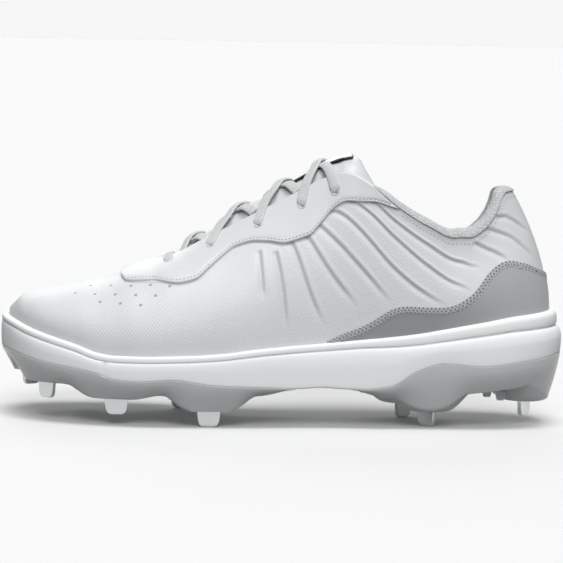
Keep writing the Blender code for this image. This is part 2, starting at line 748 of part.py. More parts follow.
def make_tongue(root):
    grid = tongue_rows(-UPPER_WALL - TONGUE_GAP, 4, 2)
    return slab("tongue", grid, grid - row_normals(grid) * TONGUE_WALL, WHITE, root)


def make_badge(root):
    """A flat patch on the tongue's top, a clearance off it."""
    grid = tongue_rows(-UPPER_WALL - TONGUE_GAP, 4, 2)
    middle = grid.shape[1] // 2
    patch, lift = grid[-6:-1, middle - 2 : middle + 3], row_normals(grid)[-6:-1, middle - 2 : middle + 3]
    return slab(
        "tongue_badge", patch + lift * (CLEARANCE + OVERLAY_WALL), patch + lift * CLEARANCE, BLACK, root
    )


def over_throat(along, place):
    """A point of the surface that the lace's middle follows over the eyestay and the tongue. place
    is 0 over the inner eyelet of a station and 1 over the outer one."""
    offset = LACE_GAP + OVERLAY_GAP + OVERLAY_WALL + 0.5 * LACE_THICKNESS
    starts, ways = [], []
    for side in (1, -1):
        share = share_below_edge(along, side, EYELET_INSET)
        start = off_upper(along, side, share, offset)
        way = off_upper(along, side, share + 0.03, offset) - start
        starts.append(start)
        ways.append(way / np.linalg.norm(way))
    edge = float(sole_height("rim", along) + edge_height(along))
    crown = max(float(crown_height(along)), edge) + OVERLAY_WALL + 0.5 * LACE_THICKNESS + 3 * CLEARANCE
    row = arch(starts[1], ways[1], starts[0], ways[0], crown, 12)
    at = min(max(place, 0.0), 1.0) * (len(row) - 1)
    low = min(int(at), len(row) - 2)
    return row[low] + (row[low + 1] - row[low]) * (at - low)


def run_object(name, start, end, side, root):
    """One run of the lace, from over the eyelet of one station to over that of another across."""
    rings = []
    shares = np.linspace(0, 1, LACE_STEPS + 1)
    places = shares if side < 0 else 1 - shares
    alongs = start + (end - start) * shares
    path = np.array([over_throat(a, p) for a, p in zip(alongs, places)])
    tangents = np.gradient(path, axis=0)
    for point, tangent, along, place in zip(path, tangents, alongs, places):
        low, high = max(place - 0.04, 0.0), min(place + 0.04, 1.0)
        across = over_throat(along, high) - over_throat(along, low)
        ahead = over_throat(along + 0.01, place) - over_throat(along - 0.01, place)
        thick = np.cross(ahead, across)
        wide = np.cross(thick, tangent)
        wide /= np.linalg.norm(wide)
        thick = np.cross(tangent, wide)
        thick /= np.linalg.norm(thick)
        turns = np.linspace(0, 2 * math.pi, LACE_SIDES, endpoint=False)
        ring_points = [
            wide * 0.5 * LACE_WIDTH * math.cos(a) + thick * 0.5 * LACE_THICKNESS * math.sin(a) for a in turns
        ]
        rings.append(point + np.array(ring_points))
    rings = np.array(rings)
    rows, columns = rings.shape[:2]
    faces = grid_faces(rows, columns, closed=True)
    faces.append(tuple(range(columns))[::-1])
    faces.append(tuple((rows - 1) * columns + c for c in range(columns)))
    return add_object(name, rings.reshape(-1, 3), faces, CORD, root)


def make_lace(root):
    """The lace's front bar and its crossings, joined into one body."""
    lace = run_object("lace", EYELETS[0], EYELETS[0], 1, root)
    for number, (low, high) in enumerate(zip(EYELETS, EYELETS[1:])):
        for side in (1, -1):
            run = run_object(f"lace_run_{number}_{side}", low, high, side, root)
            run.hide_render = True
            run.display_type = "WIRE"
            join = lace.modifiers.new(run.name, "BOOLEAN")
            join.operation = "UNION"
            join.object = run
    return lace


def make_insole(root):
    along, side = loop(stations())
    inset = -UPPER_WALL - 2 * CLEARANCE
    bed = bed_height(along) + 2 * CLEARANCE
    bevel = 0.4 * INSOLE_THICKNESS
    rings = [
        ring(along, side, inset - 2 * bevel, bed + 0.92 * INSOLE_THICKNESS),
        ring(along, side, inset, bed + INSOLE_THICKNESS),
        ring(along, side, inset, bed),
    ]
    return stacked("insole", rings, len(stations()), LINING, root)


def make_midsole(root):
    """Cup, rim band, crease, side, and a lower side stepped in behind the plates."""
    along, side = loop(sole_stations())
    rim, line, under = sole_height("rim", along), side_line(along), under_height(along)
    band, lip, bulge = (sole_depth(name, along) for name in ("band", "lip", "bulge"))
    cover = plate_cover(along) * (PLATE_WALL + CLEARANCE) + CLEARANCE
    crease = rim - band
    belly = crease - 0.45 * (crease - line)
    corner = corner_out(along)
    rings = [
        ring(along, side, CLEARANCE, bed_height(along)),
        ring(along, side, CLEARANCE, rim - 0.15 * CUP_DEPTH),
        ring(along, side, 0.35 * lip, rim),
        ring(along, side, 0.90 * lip, rim - 0.30 * band),
        ring(along, side, lip, rim - 0.80 * band),
        ring(along, side, 0.72 * lip + 0.1 * bulge, crease),
        ring(along, side, 0.5 * (0.9 * lip + bulge), crease - 0.35 * (crease - belly)),
        ring(along, side, bulge, belly),
        ring(along, side, 0.94 * bulge, line),
        ring(along, side, 0.94 * bulge - cover, line - 0.2 * CLEARANCE),
        ring(along, side, 0.5 * (0.94 * bulge + corner) - cover, 0.5 * (line + under + cover)),
        ring(along, side, corner - cover, under + cover),
    ]
    return stacked("midsole", rings, len(sole_stations()), FOAM, root)


def stud_place(row):
    _, along, across, clear, turn = row
    return LAST_LENGTH * along, BALL_WIDTH * across, STUD_SEAT_HEIGHT * clear, math.radians(turn)


def seat_height(row):
    """Height of the flat seat that a stud's blade comes out of."""
    return stud_place(row)[2] + STUD_SEAT_HEIGHT


def underside(x, y, base):
    """Height of the plates' underside at a place: the sole's base, brought down by a boss with a
    flat seat at each stud."""
    height = base
    for row in STUDS:
        stud_x, stud_y, _, _ = stud_place(row)
        near = np.hypot(x - stud_x, y - stud_y) / BOSS_RADIUS
        flank = np.clip(1.9 - near, 0, 1)
        flank = flank * flank * (3 - 2 * flank)
        height = np.minimum(height, base + (seat_height(row) - base) * flank)
    return height


def make_plate(name, end, tip, root):
    """A moulded plate: a side that wraps up over the midsole and an underside with bosses."""
    along = sole_stations()
    along = along[along >= end] if tip else along[along <= end][::-1]
    sections = []
    for inner in (False, True):
        cover = plate_cover(along) * PLATE_WALL if inner else np.zeros(len(along))
        line, under = side_line(along) - 1.2 * CLEARANCE, under_height(along)
        flanks = []
        for side in (np.ones(len(along)), -np.ones(len(along))):
            bulge, corner = 0.94 * sole_depth("bulge", along), corner_out(along)
            middle = 0.5 * (bulge + corner)
            flanks.append([
                ring(along, side, bulge - cover, line),
                ring(along, side, middle - cover, 0.5 * (line + under) + 0.5 * cover),
                ring(along, side, corner - cover, under + cover),
            ])
        outer, inner_side = flanks[0][-1], flanks[1][-1]
        floor = []
        for share in np.linspace(0, 1, PLATE_ROWS + 1)[1:-1]:
            row = outer + (inner_side - outer) * share
            if not inner:
                row[:, 2] = underside(row[:, 0], row[:, 1], row[:, 2])
            floor.append(row)
        if not inner:
            for flank in flanks:
                corner, middle = flank[2], flank[1]
                lower = underside(corner[:, 0], corner[:, 1], corner[:, 2])
                middle[:, 2] -= SIDE_SHARE * (corner[:, 2] - lower)
                corner[:, 2] = lower
        sections.append(np.array(flanks[0] + floor + flanks[1][::-1]))
    return slab(name, sections[0], sections[1], PLATE, root, closed_tip=True)


def make_stud(row, root):
    """A flat blade: a tapered outline with cut corners, pushed through its thickness."""
    name = row[0]
    x, y, tip, turn = stud_place(row)
    top = seat_height(row) - CLEARANCE
    half_top, half_tip = 0.5 * STUD_WIDTH, 0.5 * STUD_TIP_WIDTH
    cut = 0.22 * STUD_TIP_WIDTH
    outline = (
        (-half_top, top),
        (-half_tip, tip + cut),
        (-half_tip + cut, tip),
        (half_tip - cut, tip),
        (half_tip, tip + cut),
        (half_top, top),
    )
    points = []
    for away in (-0.5 * STUD_THICKNESS, 0.5 * STUD_THICKNESS):
        for run, height in outline:
            points.append((
                x + run * math.cos(turn) - away * math.sin(turn),
                y + run * math.sin(turn) + away * math.cos(turn),
                height,
            ))
    count = len(outline)
    faces = [tuple(range(count)), tuple(range(2 * count - 1, count - 1, -1))]
    faces += [(i, i + count, (i + 1) % count + count, (i + 1) % count) for i in range(count)]
    return add_object(name, points, faces, STEEL, root)


def height_over(tree, x, y):
    """Height at which a ray up from the floor first meets a plate."""
    hit, _, _, _ = tree.ray_cast(Vector((x, y, -STUD_SEAT_HEIGHT)), Vector((0, 0, 1)))
    return hit.z


def make_lug(number, row, plate, root):
    """A small block with sloped sides, its top laid against the underside of its plate."""
    along, across = row
    x, y = LAST_LENGTH * along, BALL_WIDTH * across
    tree = BVHTree.FromObject(plate, bpy.context.evaluated_depsgraph_get())
    half, corners = 0.5 * LUG_WIDTH, ((-1, -1), (1, -1), (1, 1), (-1, 1))
    tops = [height_over(tree, x + half * a, y + half * b) for a, b in corners]
    sag = 0
    for a in np.linspace(-1, 1, 7):
        for b in np.linspace(-1, 1, 7):
            weights = [(1 + a * i) * (1 + b * j) / 4 for i, j in corners]
            flat = sum(w * t for w, t in zip(weights, tops))
            sag = max(sag, flat - height_over(tree, x + half * a, y + half * b))
    points = [(x + half * a, y + half * b, top - sag - CLEARANCE) for (a, b), top in zip(corners, tops)]
    foot = min(tops) - LUG_HEIGHT
    points += [(x + 0.6 * half * a, y + 0.6 * half * b, foot) for a, b in corners]
    faces = [(0, 1, 2), (0, 2, 3), (7, 6, 5, 4)]
    faces += [(i, (i + 1) % 4, (i + 1) % 4 + 4, i + 4) for i in range(4)]
    return add_object(f"lug_{number + 1}", points, faces, PLATE, root)


def stand(root, pieces):
    """Moves the root so that the shoe's box is centred over the origin, with its base on the floor."""
    bpy.context.view_layer.update()
    graph = bpy.context.evaluated_depsgraph_get()
    corners = []
    for piece in pieces:
        mesh = piece.evaluated_get(graph).to_mesh()
        corners += [piece.matrix_world @ vertex.co for vertex in mesh.vertices]
    points = np.array([tuple(corner) for corner in corners])
    low, high = points.min(axis=0), points.max(axis=0)
    root.location = (-0.5 * (low[0] + high[0]), -0.5 * (low[1] + high[1]), -low[2])


def main():
    for old in list(bpy.data.objects):
        bpy.data.objects.remove(old)
    root = bpy.data.objects.new("cleat", None)
    bpy.context.scene.collection.objects.link(root)
    pieces = [
        make_upper(root),
        make_midsole(root),
        make_insole(root),
        make_tongue(root),
        make_eyestay(root),
        make_heel_panel(root),
        make_collar_lining(root),
        make_badge(root),
        make_lace(root),
    ]
    plates = [make_plate(name, end, tip, root) for name, end, tip in PLATES]
    pieces += plates
    pieces += [make_stud(row, root) for row in STUDS]
    for number, row in enumerate(LUGS):
        plate = plates[0] if row[0] > PLATES[0][1] else plates[1]
        pieces.append(make_lug(number, row, plate, root))
    stand(root, pieces)


main()
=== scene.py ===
"""Dresses the packed baseball cleat for the left foot: leather, knit, foam, moulded plates, steel
studs, lace and stitching over the frame's solids, on a pale floor, seen from the outer side.
Metres; +X is the toe, +Y the outer side of the foot, +Z up."""

import functools
import math

import bmesh
import bpy
import numpy as np
from bpy.props import FloatProperty, FloatVectorProperty, PointerProperty
from mathutils import Matrix, Vector
from mathutils.bvhtree import BVHTree


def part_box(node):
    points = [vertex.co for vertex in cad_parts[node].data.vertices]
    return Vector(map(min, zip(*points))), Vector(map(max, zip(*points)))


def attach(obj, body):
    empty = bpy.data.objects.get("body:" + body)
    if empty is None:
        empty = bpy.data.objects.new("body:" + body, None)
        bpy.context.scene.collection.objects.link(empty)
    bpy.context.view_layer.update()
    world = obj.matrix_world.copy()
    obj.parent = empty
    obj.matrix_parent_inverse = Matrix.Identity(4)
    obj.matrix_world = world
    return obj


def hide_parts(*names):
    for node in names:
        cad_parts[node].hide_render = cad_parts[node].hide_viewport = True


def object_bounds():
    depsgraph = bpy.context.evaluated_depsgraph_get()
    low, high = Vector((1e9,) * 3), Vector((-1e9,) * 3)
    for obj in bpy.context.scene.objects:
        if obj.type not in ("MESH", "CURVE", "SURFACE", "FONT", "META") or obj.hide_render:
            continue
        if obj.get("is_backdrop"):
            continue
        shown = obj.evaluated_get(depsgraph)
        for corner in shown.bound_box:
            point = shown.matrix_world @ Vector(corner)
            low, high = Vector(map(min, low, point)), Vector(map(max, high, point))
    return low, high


bl_info = {
    "name": "Baseball cleat",
    "version": (1, 0, 0),
    "blender": (4, 5, 0),
    "location": "3D View > Sidebar > Cleat",
    "description": "Leather, knit, foam, plates, studs and lace of a baseball cleat",
    "category": "Object",
}

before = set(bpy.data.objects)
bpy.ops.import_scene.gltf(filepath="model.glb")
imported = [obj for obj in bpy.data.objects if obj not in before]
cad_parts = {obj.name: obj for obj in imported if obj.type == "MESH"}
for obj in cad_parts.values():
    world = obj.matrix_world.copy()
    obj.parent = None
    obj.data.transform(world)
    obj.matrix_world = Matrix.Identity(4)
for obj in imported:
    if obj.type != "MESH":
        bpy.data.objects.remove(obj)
CAD_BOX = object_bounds()

# The last: the foot form that the upper and the sole both follow, as in the frame.
LAST_LENGTH = 0.284
BALL_WIDTH = 0.098
HEEL_RISE = 0.0612
INSTEP_RISE = 0.0865
HEEL_LEAN = 0.0196
LEAN_POWER = 1.8
LEAN_SHARE = 0.30

# Heights of the sole above the floor.
RIM_HEIGHT = 0.0614
PLATE_LINE_HEIGHT = 0.0380
UNDERSIDE_HEIGHT = 0.0215
STUD_SEAT_HEIGHT = 0.0085

# Walls and clearances.
UPPER_WALL = 0.0020
CLEARANCE = 0.0003
OVERLAY_GAP = 0.0005
OVERLAY_WALL = 0.0009
TONGUE_WALL = 0.0045
TONGUE_GAP = 0.0012
CUP_DEPTH = 0.0050
INSOLE_THICKNESS = 0.0040
PLATE_WALL = 0.0025

# The throat, the collar and the lace.
THROAT_FRONT_SHARE = 0.722
THROAT_ROUND_SHARE = 0.045
EYESTAY_NOSE_SHARE = 0.024
EYELET_INSET = 0.0075
LACE_THICKNESS = 0.0026
LACE_GAP = 0.0016
ROLL_DEPTH = 0.0150
ROLL_THICKNESS = 0.0052
ROLL_LIP = 0.0024

# Studs: flat metal blades in moulded bosses.
STUD_WIDTH = 0.0125
STUD_TIP_WIDTH = 0.0104
STUD_THICKNESS = 0.0027
BOSS_RADIUS = 0.0125

# Plan of the last, heel to toe. along is a share of LAST_LENGTH, outer and inner of BALL_WIDTH.
PLAN_COLUMNS = ("along", "outer", "inner")
PLAN = (
    (0.000, 0.000, 0.000),
    (0.010, 0.130, 0.130),
    (0.030, 0.210, 0.213),
    (0.080, 0.298, 0.306),
    (0.150, 0.338, 0.347),
    (0.250, 0.352, 0.350),
    (0.350, 0.359, 0.318),
    (0.450, 0.390, 0.300),
    (0.550, 0.444, 0.322),
    (0.650, 0.490, 0.390),
    (0.720, 0.500, 0.454),
    (0.800, 0.470, 0.490),
    (0.870, 0.403, 0.470),
    (0.930, 0.296, 0.410),
    (0.970, 0.160, 0.318),
    (0.990, 0.044, 0.220),
    (1.000, -0.082, 0.082),
)

# Side lines of the sole. rim is a share of RIM_HEIGHT, plate of PLATE_LINE_HEIGHT, and under of
# UNDERSIDE_HEIGHT; band, lip and bulge are shares of CUP_DEPTH: the height of the rim's band, how
# far it stands out from the last, and how far the side below it does.
SOLE_COLUMNS = ("along", "rim", "plate", "under", "band", "lip", "bulge")
SOLE = (
    (0.000, 1.000, 1.040, 1.280, 1.60, 1.00, 1.50),
    (0.060, 0.969, 0.942, 1.020, 1.50, 0.88, 1.30),
    (0.130, 0.910, 0.880, 0.900, 1.36, 0.76, 1.10),
    (0.195, 0.853, 0.913, 0.800, 1.24, 0.70, 1.00),
    (0.244, 0.811, 0.805, 0.740, 1.14, 0.66, 0.95),
    (0.295, 0.779, 0.584, 0.730, 1.00, 0.62, 0.90),
    (0.347, 0.753, 0.545, 0.880, 0.84, 0.58, 0.84),
    (0.420, 0.719, 0.560, 0.990, 0.76, 0.54, 0.76),
    (0.467, 0.699, 0.550, 0.930, 0.72, 0.52, 0.70),
    (0.530, 0.670, 0.565, 0.770, 0.70, 0.52, 0.66),
    (0.607, 0.627, 0.585, 0.750, 0.68, 0.52, 0.64),
    (0.688, 0.607, 0.660, 0.760, 0.68, 0.52, 0.64),
    (0.750, 0.600, 0.630, 0.790, 0.68, 0.52, 0.64),
    (0.790, 0.600, 0.645, 0.800, 0.68, 0.52, 0.64),
    (0.820, 0.616, 0.715, 0.830, 0.68, 0.54, 0.66),
    (0.865, 0.683, 0.780, 0.900, 0.70, 0.56, 0.70),
    (0.910, 0.738, 0.822, 1.020, 0.70, 0.60, 0.76),
    (0.950, 0.790, 0.885, 1.170, 0.68, 0.68, 0.82),
    (0.980, 0.838, 0.935, 1.330, 0.64, 0.76, 0.84),
    (1.000, 0.871, 0.976, 1.480, 0.60, 0.80, 0.84),
)

# The upper's edge: the collar and throat, and past the throat's front the ridge of the vamp.
# of_heel and of_instep are the shares of HEEL_RISE and INSTEP_RISE above the rim that add up to
# its height, and gap its distance from the middle as a share of BALL_WIDTH.
EDGE_COLUMNS = ("along", "of_heel", "of_instep", "gap")
EDGE = (
    (0.000, 1.000, 0.000, 0.000),
    (0.010, 1.006, 0.000, 0.078),
    (0.027, 1.010, 0.000, 0.128),
    (0.045, 0.985, 0.000, 0.168),
    (0.063, 0.915, 0.000, 0.197),
    (0.088, 0.825, 0.000, 0.228),
    (0.111, 0.763, 0.000, 0.250),
    (0.139, 0.725, 0.000, 0.270),
    (0.168, 0.745, 0.000, 0.286),
    (0.230, 0.600, 0.212, 0.304),
    (0.291, 0.300, 0.572, 0.304),
    (0.334, 0.100, 0.847, 0.283),
    (0.362, 0.000, 0.978, 0.258),
    (0.385, 0.000, 1.000, 0.235),
    (0.415, 0.000, 0.975, 0.206),
    (0.480, 0.000, 0.879, 0.176),
    (0.536, 0.000, 0.798, 0.158),
    (0.622, 0.000, 0.680, 0.133),
    (0.698, 0.000, 0.556, 0.105),
    (0.722, 0.000, 0.535, 0.090),
    (0.758, 0.000, 0.504, 0.000),
    (0.831, 0.000, 0.393, 0.000),
    (0.905, 0.000, 0.268, 0.000),
    (0.957, 0.000, 0.183, 0.000),
    (0.979, 0.000, 0.126, 0.000),
    (0.990, 0.000, 0.078, 0.000),
    (1.000, 0.000, 0.025, 0.000),
)

# Fullness of each half section: the wall's handle rises by a share of the section's height and
# leans out by a share of BALL_WIDTH; the edge's handle runs out by a share of the section's width
# and drops by a share of its height.
FULLNESS_COLUMNS = ("along", "rise", "bulge", "run", "drop")
FULLNESS = (
    (0.000, 0.40, 0.000, 0.00, 0.30),
    (0.080, 0.42, 0.012, 0.02, 0.34),
    (0.160, 0.45, 0.022, 0.06, 0.36),
    (0.280, 0.47, 0.016, 0.20, 0.26),
    (0.385, 0.50, 0.004, 0.44, 0.16),
    (0.480, 0.52, 0.006, 0.46, 0.14),
    (0.600, 0.55, 0.014, 0.50, 0.16),
    (0.722, 0.60, 0.024, 0.58, 0.03),
    (0.780, 0.62, 0.030, 0.62, 0.00),
    (0.900, 0.62, 0.034, 0.64, 0.00),
    (0.970, 0.60, 0.020, 0.64, 0.00),
    (1.000, 0.60, 0.000, 0.60, 0.00),
)

# The middle line of the upper drifts to the inner side at the toe, as a share of BALL_WIDTH.
MIDDLE_COLUMNS = ("along", "drift")
MIDDLE = ((0.0, 0.0), (0.50, 0.0), (0.722, -0.012), (0.870, -0.045), (1.0, -0.082))

# Lower edge of the eyestay and top edge of the heel panel, as shares of the section's height.
EYESTAY_COLUMNS = ("along", "level")
EYESTAY = (
    (0.280, 1.000),
    (0.315, 0.930),
    (0.357, 0.849),
    (0.384, 0.827),
    (0.407, 0.790),
    (0.425, 0.736),
    (0.446, 0.690),
    (0.484, 0.700),
    (0.523, 0.770),
    (0.557, 0.823),
    (0.580, 0.834),
    (0.603, 0.800),
    (0.626, 0.746),
    (0.649, 0.697),
    (0.671, 0.711),
    (0.719, 0.806),
    (0.777, 0.885),
    (0.784, 0.925),
    (0.788, 0.965),
    (0.789, 1.000),
)
PANEL_COLUMNS = ("along", "level")
PANEL = (
    (0.000, 0.320),
    (0.028, 0.415),
    (0.058, 0.520),
    (0.086, 0.588),
    (0.111, 0.563),
    (0.130, 0.445),
    (0.146, 0.352),
    (0.169, 0.275),
    (0.200, 0.241),
    (0.263, 0.252),
    (0.288, 0.228),
    (0.315, 0.153),
    (0.344, 0.090),
    (0.387, 0.045),
    (0.410, 0.012),
)

# The tongue's crown above the throat's edge as a share of INSTEP_RISE, and the share of the
# section where its side hides under the upper.
TONGUE_COLUMNS = ("along", "crown", "side")
TONGUE = (
    (0.385, 0.079, 0.74),
    (0.440, 0.081, 0.72),
    (0.480, 0.080, 0.72),
    (0.536, 0.086, 0.72),
    (0.600, 0.058, 0.72),
    (0.647, 0.036, 0.74),
    (0.698, -0.014, 0.76),
    (0.722, -0.036, 0.78),
    (0.748, -0.040, 0.80),
)
TONGUE_ROWS = 60
TONGUE_TUCK_SHARE = 0.93
TONGUE_FREE_LENGTH = 0.0130
TONGUE_CURL_SHARE = 0.30
TONGUE_NARROW_SHARE = 0.22

# Stations of the eyelets along the throat, front to top.
EYELETS = (0.700, 0.622, 0.536, 0.458, 0.398)

# Studs: name, along and across as shares of LAST_LENGTH and BALL_WIDTH, the share of
# STUD_SEAT_HEIGHT between the tip and the floor, and the angle of the blade to the X axis.
STUDS = (
    ("stud_toe_medial", 0.962, -0.225, 1.62, 45.0),
    ("stud_toe_lateral", 0.920, 0.215, 1.40, -48.0),
    ("stud_mid_medial", 0.862, -0.370, 0.95, 30.0),
    ("stud_mid_lateral", 0.790, 0.385, 0.66, 0.0),
    ("stud_ball_medial", 0.680, -0.395, 0.00, 0.0),
    ("stud_ball_lateral", 0.622, 0.385, 0.00, 0.0),
    ("stud_heel_medial", 0.262, -0.180, 0.00, 50.0),
    ("stud_heel_lateral", 0.222, 0.185, 0.00, -48.0),
    ("stud_heel_rear", 0.040, 0.000, 0.52, 62.0),
)
PLATES = (("forefoot_plate", 0.467, 1.0), ("heel_plate", 0.347, 0.0))
PLATE_FADE_SHARE = 0.06

# Ribs pressed into the side: each is a line over the side from the eyestay towards the sole, as
# (share of LAST_LENGTH, share of the section) pairs.
RIBS = (
    ((0.497, 0.475), (0.488, 0.332), (0.481, 0.193), (0.477, 0.054)),
    ((0.472, 0.560), (0.456, 0.405), (0.445, 0.297), (0.429, 0.170), (0.408, 0.073)),
    ((0.446, 0.570), (0.424, 0.429), (0.404, 0.332), (0.384, 0.247), (0.343, 0.143)),
    ((0.428, 0.630), (0.402, 0.517), (0.370, 0.409), (0.328, 0.324), (0.282, 0.193)),
    ((0.410, 0.710), (0.362, 0.606), (0.322, 0.533), (0.276, 0.440), (0.225, 0.320), (0.185, 0.216)),
    ((0.372, 0.770), (0.317, 0.750), (0.277, 0.715), (0.234, 0.630), (0.168, 0.480), (0.138, 0.344)),
    ((0.318, 0.880), (0.273, 0.870), (0.205, 0.830), (0.157, 0.740), (0.120, 0.620)),
    ((0.072, 0.980), (0.037, 0.807), (0.000, 0.629)),
    ((0.094, 0.960), (0.051, 0.680), (0.005, 0.390)),
    ((0.119, 0.880), (0.092, 0.703), (0.063, 0.483)),
    ((0.528, 0.520), (0.523, 0.360), (0.520, 0.240)),
)

# Ventilation holes of the vamp, as (share of LAST_LENGTH, share of the section).
VENTS = (
    (0.845, 0.772), (0.806, 0.695), (0.768, 0.595), (0.732, 0.560), (0.696, 0.533),
    (0.871, 0.641), (0.834, 0.606), (0.796, 0.544), (0.758, 0.479), (0.721, 0.448),
    (0.823, 0.490), (0.785, 0.425), (0.748, 0.378),
)

# Steps that a slope is taken over: an angle of a station, and a share of a section.
TURN_STEP = 0.002
SHARE_STEP = 0.004

# Stations where the heel's round ends and where the ribbed side does.
HEEL_ROUND = 0.05
RIBBED_END = 0.54

# Fine lengths in metres, for shapes that only the looks have.
JOIN_DISTANCE = 2e-6
RIB_WIDTH = 0.0008
RIB_MARGIN = 0.012
RIB_REACH = 0.02
EDGE_DROPS = (0.0, 0.0, 0.0006, 0.0010, 0.0008, 0.0004, 0.0, 0.0)
INNER_DROP = 0.0036
OVERLAY_SINK = 0.00005
EYESTAY_THICK = 0.0011
EYESTAY_ROUND = 0.0009
GROOVE_PLACE = 0.0006
GROOVE_WIDTH = 0.0007
GROOVE_DEPTH = 0.0003
PANEL_THICK = 0.0008
PANEL_ROUND = 0.0006
STRIP_WIDTH = 0.0036
STITCH_INSET = 0.0019
COLLAR_STITCH_INSET = 0.0024
BADGE_BORDER = 0.0007
BADGE_LIFT = 0.0009
BADGE_ROUND = 0.0006
TONGUE_ROUND = 0.0026
TONGUE_TRIM = 0.0044
TONGUE_WAVE = 0.0006
TONGUE_DENT = 0.0007
LACE_PRESS = 0.0024
LACE_TUCK = 0.0042
LACE_DIVE = 0.0034
LACE_STEP = 0.0006
LACE_GATHER_LENGTH = 0.006
EYELET_DROP = 0.0018
WRAP_DEPTH = 0.0005
PLATE_SWELL = 0.0007
FLOOR_SWELL = 0.0008
BLADE_FOLD = 0.0004
BLADE_THICKNESS = 0.86 * STUD_THICKNESS
BLADE_ROOT = 0.0012
BLADE_BEVEL = 0.00035

# Stations along the last, and reaches as shares of its length.
EASE_REACH = 0.035
COLLAR_END = 0.330
COLLAR_STITCH_END = 0.275
PANEL_DROP_AT = 0.06
PANEL_DROP_REACH = 0.08
SHEET_MARGIN = 0.012
WRAP_AT = 0.815
WRAP_WIDTH = 0.0022

# Other shares, and one count.
PANEL_DROP = 0.026
BADGE_SPAN = (0.70, 0.972)
BADGE_REACH = 0.27
TONGUE_LEAN = 0.60
LACE_HIDDEN = 0.17
LACE_GATHER = 0.38
EASE_ROUNDS = 40

# Where the two hatches are pressed in: the low and the high corner and the soft edge of each, as
# (station, share of the section) pairs.
HATCH_AREAS = {
    "weave": ((0.16, 0.04), (0.53, 0.80), (0.05, 0.06)),
    "slant": ((0.58, 0.03), (0.88, 0.46), (0.03, 0.10)),
}

# Inputs of the tree that sets a small shape on many points.
SPREAD_INPUTS = (
    ("Points", "Geometry"),
    ("Shape", "Object"),
    ("Size", "Float"),
    ("Vary", "Float"),
    ("Seed", "Int"),
    ("Finish", "Material"),
)

# How a lace's end dives into its eyelet: shares of LACE_DIVE onwards and down.
DIVE = ((0.45, 0.2), (0.7, 0.7), (0.75, 1.4))

# Rows of stitches: name, the piece that carries them, slot, distance off the upper, pitch, size
# and seed.
STITCH_ROWS = (
    ("eyestay_stitches", "eyestay_skin", "eyestay_leather", 1.05 * EYESTAY_THICK, 0.0019, 0.00060, 5),
    ("collar_stitches", "upper_skin", "upper_leather", 0.00008, 0.0021, 0.00052, 7),
)

# Lights: name, direction that it comes from, spread in degrees and power.
LIGHTS = (
    ("top_light", (-0.06, 0.30, 1.0), 30.0, 2.05),
    ("front_light", (-0.06, 0.84, 0.58), 26.0, 1.52),
    ("back_light", (0.10, -0.86, 0.50), 40.0, 0.80),
)
SKY_COLOUR = (0.98, 0.99, 1.0, 1.0)
STAGE_RADIUS = 60.0
STAGE_SIDES = 48
FLOOR_HEIGHT = -0.0001
WALL_HEIGHT = 1.6
PHOTO_PIXELS = 563.0
CAMERA_PIXELS = 3038.4
CLIP_END = 200.0
SENSOR_WIDTH = 36.0
CAMERA_AIM = 0.0729
CAMERA_DISTANCE = 1.600


def angle_of(along):
    """Stations as an angle, 0 at the heel and pi at the toe, so that both ends come out round."""
    return np.arccos(np.clip(1 - 2 * np.asarray(along, float), -1, 1))


def along_of(angle):
    return 0.5 - 0.5 * np.cos(angle)


def unit(vectors):
    return vectors / np.linalg.norm(vectors, axis=-1, keepdims=True)


def run_of(path):
    """Distance along a path at each of its points."""
    return np.concatenate([[0], np.cumsum(np.linalg.norm(np.diff(path, axis=0), axis=1))])


def eased_share(u):
    """A share from 0 to 1 that starts and ends gently."""
    return u * u * (3 - 2 * u)


def cubic(u, knots):
    """A cubic curve from the first to the last of four knots."""
    weights = (1 - u) ** 3, 3 * u * (1 - u) ** 2, 3 * u * u * (1 - u), u**3
    return sum(weight * knot for weight, knot in zip(weights, knots))


def smooth(xs, ys, x):
    """A smooth curve through the points that never passes a high or low point of the table."""
    steps = np.diff(xs)
    rises = np.diff(ys) / steps
    before, after = rises[:-1], rises[1:]
    heavy, light = 2 * steps[1:] + steps[:-1], steps[1:] + 2 * steps[:-1]
    same = before * after > 0
    safe_before, safe_after = np.where(same, before, 1), np.where(same, after, 1)
    inner = np.where(same, (heavy + light) / (heavy / safe_before + light / safe_after), 0)
    slopes = np.concatenate([[rises[0]], inner, [rises[-1]]])
    i = np.clip(np.searchsorted(xs, x, side="right") - 1, 0, len(steps) - 1)
    u = np.clip((x - xs[i]) / steps[i], 0, 1)
    ease = eased_share(u)
    lead, trail = u * (1 - u) ** 2, -u * u * (1 - u)
    return ys[i] * (1 - ease) + ys[i + 1] * ease + steps[i] * (lead * slopes[i] + trail * slopes[i + 1])


def column(rows, names, name, along):
    """One column of a table at any station, mirrored past both ends so that they come out flat."""
    table = np.array([[row[names.index("along")], row[names.index(name)]] for row in rows], float)
    angles, values = angle_of(table[:, 0]), table[:, 1]
    if table[0, 0] == 0:
        sign = -1 if name in ("outer", "inner", "gap") else 1
        angles = np.concatenate([[-angles[1]], angles])
        values = np.concatenate([[sign * values[1]], values])
    if table[-1, 0] == 1:
        end = 2 * values[-1] if name in ("outer", "inner") else 0
        values = np.concatenate([values, [end - values[-2] if end else values[-2]]])
        angles = np.concatenate([angles, [2 * math.pi - angles[-2]]])
    return smooth(angles, values, angle_of(along))


def plan_y(along, side):
    """Half width of the last at a station; side is 1 for the outer and -1 for the inner side."""
    outer = column(PLAN, PLAN_COLUMNS, "outer", along)
    inner = column(PLAN, PLAN_COLUMNS, "inner", along)
    return BALL_WIDTH * np.where(side > 0, outer, -inner)


def sole_height(name, along):
    whole = {"rim": RIM_HEIGHT, "plate": PLATE_LINE_HEIGHT, "under": UNDERSIDE_HEIGHT}
    return whole[name] * column(SOLE, SOLE_COLUMNS, name, along)


